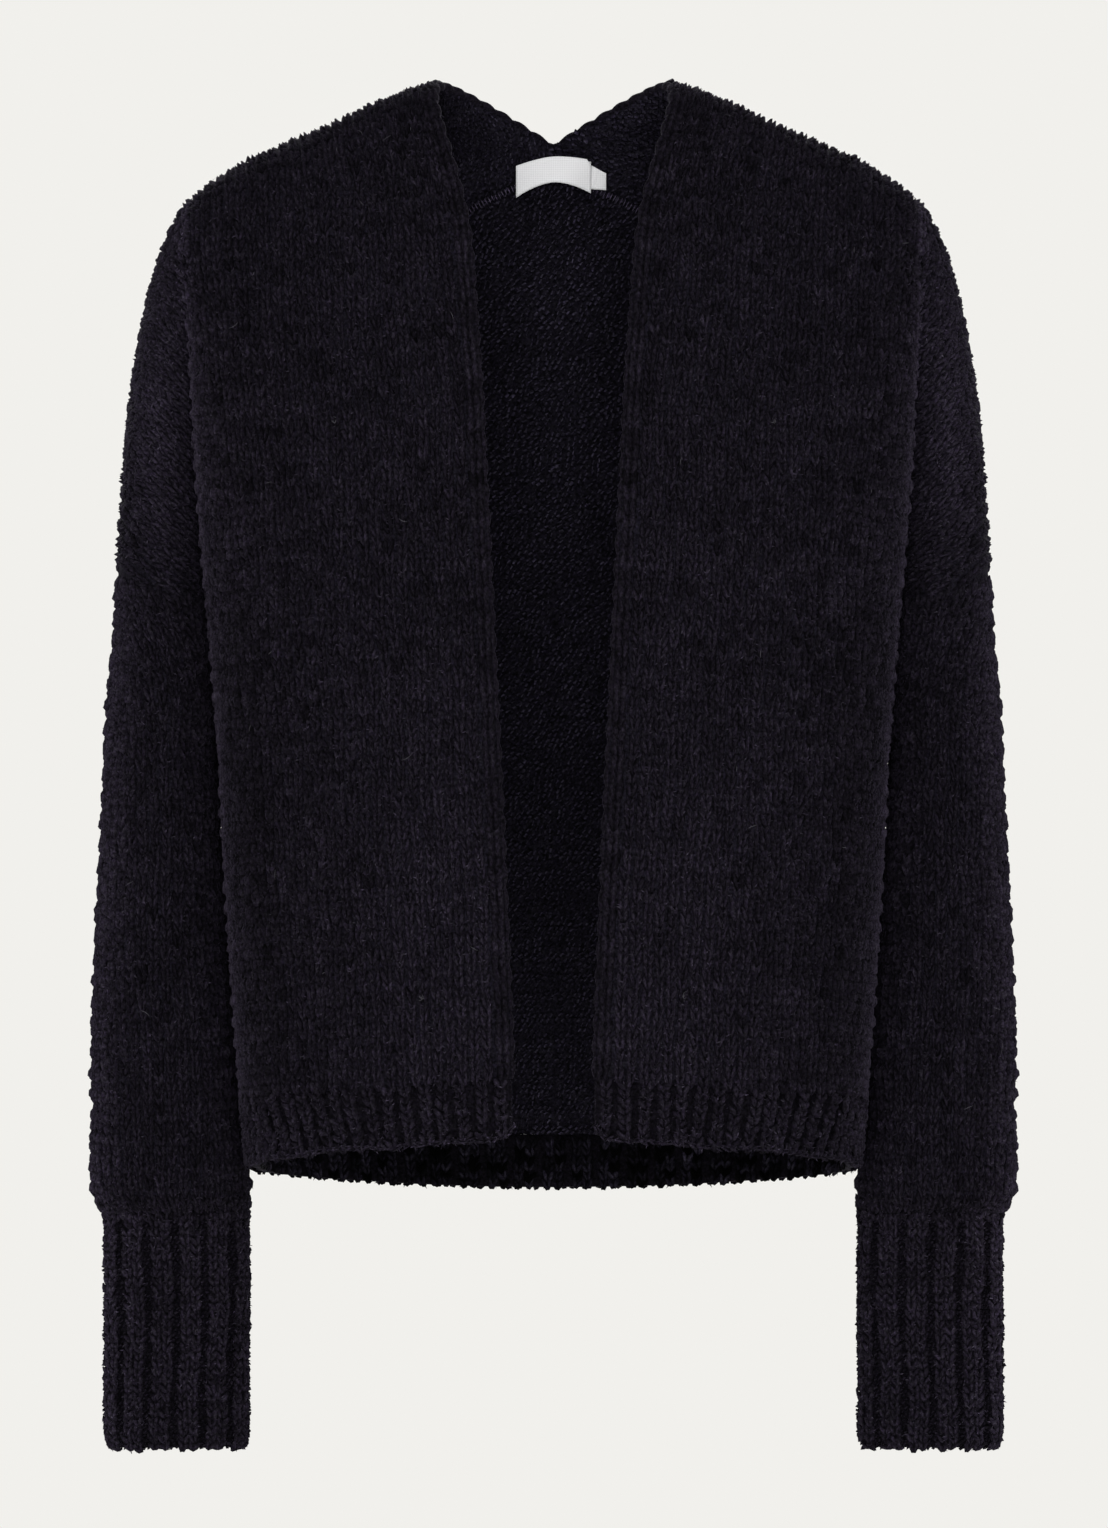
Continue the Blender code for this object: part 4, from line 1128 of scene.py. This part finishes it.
fuzz = {"perMetre": 68000.0, "length": 0.0023, "wander": 0.35, "panels": 1.0, "ribs": 2.1, "back": 0.45}


def brushFuzz(name, side, amount, seed):
    return plainFrom(name + "Fuzz" + side, bpy.data.objects[name + "Knit" + side], "fuzz", {
        "Fibre": shapes["fibre"], "Yarn": fuzzWool, "Per Square Metre": fuzz["perMetre"] * fuzz[amount],
        "Length": fuzz["length"], "Wander": fuzz["wander"], "Seed": seed})


for side in flips:
    keep("front" + side, brushFuzz("front", side, "panels", 31))
    keep("sleeve" + side, brushFuzz("sleeve", side, "panels", 32))
    keep("cuff" + side, brushFuzz("cuff", side, "ribs", 33))
    keep("hem_front" + side, brushFuzz("frontHem", side, "ribs", 34))
keep("back", brushFuzz("back", "", "back", 35))
keep("hem_back", brushFuzz("backHem", "", "ribs", 36))

# Pills and a few pale hairs caught on the wool.
loose = {"pills": ((114.0, -190.0), (69.4, -491.0)), "pillSize": 1.5, "pillFibres": 3,
         "hairs": {"front": 20, "sleeve": 8}, "hairLong": (2.2, 6.0), "hairBend": 0.09, "hairWide": 0.28,
         "hairPoints": 6, "pillOut": 2.5, "pillTurn": (2.2, 4.4), "pillPoints": 11, "pillStart": 6.0,
         "pillSizes": (0.5, 1.1), "pillWave": 0.3, "pillWaves": 1.7, "pillRise": 0.5, "pillRises": 2.3,
         "pillStray": 0.3, "hairOut": 2.4, "slimFrom": 0.25, "colour": (0.040, 0.037, 0.046), "speckle": 90.0,
         "rough": 0.8}
paleHair, tree, shader = newMaterial("paleHair", {"Roughness": loose["rough"]})
place = addNode(tree, "ShaderNodeTexCoord").outputs["Object"]
speckle = addNode(tree, "ShaderNodeTexNoise", {"Scale": loose["speckle"], "Vector": place}).outputs["Fac"]
setInputs(tree, shader, {"Base Color": scaled(tree, [2.0 * part for part in loose["colour"]], speckle)})


def ribbon(path, out, wide):
    side = unit(np.cross(np.gradient(path, axis=0), out)) * wide / 2
    slim = np.sin(np.linspace(loose["slimFrom"], math.pi - loose["slimFrom"], len(path)))[:, None]
    count = len(path)
    return (np.concatenate([path - side * slim, path + side * slim]),
            [(k, k + 1, count + k + 1, count + k) for k in range(count - 1)])


def looseFibres(grid, hairs, pills):
    normals = gridNormals(grid, 1.0)
    made, faces, base = [], [], 0
    spots = [(sampled(grid, i, j)[0], sampled(normals, i, j)[0], None) for i, j in zip(
        *(dice.uniform(1.0, count - 2.0, (hairs, 1)) for count in grid.shape[:2]))]
    for x, z in pills:
        near = np.unravel_index(np.argmin((grid[..., 0] - x) ** 2 + (grid[..., 2] - z) ** 2), grid.shape[:2])
        spots += [(grid[near], normals[near], loose["pillSize"])] * loose["pillFibres"]
    for place, out, ring in spots:
        across = unit(np.cross(out, dice.normal(0.0, 1.0, 3)))
        along = np.cross(out, across)
        if ring:
            turn = np.linspace(0.0, dice.uniform(*loose["pillTurn"]), loose["pillPoints"])
            turn = turn + dice.uniform(0.0, loose["pillStart"])
            wave = 1.0 + loose["pillWave"] * np.sin(turn * loose["pillWaves"])[:, None]
            size = ring * dice.uniform(*loose["pillSizes"]) * wave
            path = place + out * loose["pillOut"] + size * (across * np.cos(turn)[:, None]
                                                            + along * np.sin(turn)[:, None])
            path += (out * (loose["pillRise"] * np.sin(loose["pillRises"] * turn))[:, None]
                     + dice.normal(0.0, loose["pillStray"], 3))
        else:
            t = np.linspace(-0.5, 0.5, loose["hairPoints"]) * dice.uniform(*loose["hairLong"])
            bend = dice.uniform(-loose["hairBend"], loose["hairBend"])
            path = place + out * loose["hairOut"] + across * t[:, None] + along * (bend * t**2)[:, None]
        points, quads = ribbon(path, out, loose["hairWide"])
        made.append(points)
        faces += [tuple(v + base for v in quad) for quad in quads]
        base += len(points)
    return np.vstack(made), faces


for side, flip in flips.items():
    for node, cloth, pills in (("front", front, loose["pills"]), ("sleeve", sleeveUp, ())):
        points, quads = looseFibres(cloth, loose["hairs"][node], pills)
        keep(node + side, meshPiece(node + "Hairs" + side, points * flip, quads, paleHair))

flats = {"front_left": (0.36, 0.66), "front_right": (0.36, 0.66), "back": (0.60, 0.52), "sleeve_left": (0.27, 0.34),
         "sleeve_right": (0.27, 0.34), "hem_front_left": (0.25, 0.040), "hem_front_right": (0.25, 0.040),
         "hem_back": (0.48, 0.038), "cuff_left": (0.19, 0.129), "cuff_right": (0.19, 0.129),
         "neck_label": (0.041, 0.018), "size_tab": (0.0105, 0.0115)}
for node, flat in flats.items():
    shell, extras = pieces[node][0], pieces[node][1:]
    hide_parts(node)
    for obj in [shell] + extras:
        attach(obj, "root")
for obj in shapes.values():
    bpy.data.objects.remove(obj)

studio = {"ground": (0.880, 0.871, 0.840, 1.0), "fillColour": (0.88, 0.88, 0.90, 1.0), "fill": 0.30,
          "floor": ((-9, -9, -1.3), (9, -9, -1.3), (9, 2.6, -1.3), (-9, 2.6, -1.3)),
          "floorLook": {"Base Color": (0.28, 0.28, 0.27, 1.0), "Emission Color": (0.84, 0.83, 0.80, 1.0),
                        "Emission Strength": 0.75, "Roughness": 0.9},
          "aim": (0.0, 0.0, -0.35), "across": 0.0003, "distance": 4.5, "height": -0.3704, "frameHigh": 0.8251,
          "sensor": 36.0, "farthest": 50.0}
world = bpy.data.worlds.new("studio")
bpy.context.scene.world = world
world.use_nodes = True
tree, backdrop = world.node_tree, world.node_tree.nodes["Background"]
setInputs(tree, backdrop, {"Color": studio["ground"]})
soft = addNode(tree, "ShaderNodeBackground", {"Color": studio["fillColour"], "Strength": studio["fill"]})
seen = addNode(tree, "ShaderNodeLightPath").outputs["Is Camera Ray"]
blend = addNode(tree, "ShaderNodeMixShader", {"Fac": seen, 1: soft.outputs["Background"],
                                              2: backdrop.outputs["Background"]})
setInputs(tree, tree.nodes["World Output"], {"Surface": blend.outputs["Shader"]})
bpy.context.scene.view_settings.view_transform = "Standard"

floor = linked("studioFloor", newMesh("studioFloor", studio["floor"], [(0, 1, 2, 3)]))
floor.data.materials.append(newMaterial("paleFloor", studio["floorLook"])[0])

# Where each lamp stands, its power and its size.
lamps = {"keyLight": ((0.0, -2.6, 1.7), 24.0, 1.4), "frontLight": ((0.0, -3.8, -0.25), 62.0, 1.6),
         "sideLight": ((-2.9, -0.8, 0.3), 13.0, 1.4), "otherSideLight": ((2.9, -0.8, 0.3), 13.0, 1.4),
         "backLight": ((-1.0, 3.4, 1.2), 56.0, 1.4), "otherBackLight": ((1.0, 3.4, 1.2), 56.0, 1.4)}
for name, (place, power, size) in lamps.items():
    lamp = bpy.data.lights.new(name, "AREA")
    lamp.energy, lamp.size = power, size
    holder = linked(name, lamp)
    holder.location = place
    holder.rotation_euler = (Vector(studio["aim"]) - Vector(place)).to_track_quat("-Z", "Y").to_euler()

camera = linked("camera", bpy.data.cameras.new("camera"))
camera.location = (studio["across"], -studio["distance"], studio["height"])
camera.rotation_euler = (math.pi / 2, 0.0, 0.0)
camera.data.sensor_width = studio["sensor"]
camera.data.lens = studio["sensor"] * studio["distance"] / studio["frameHigh"]
camera.data.clip_end = studio["farthest"]
bpy.context.scene.camera = camera
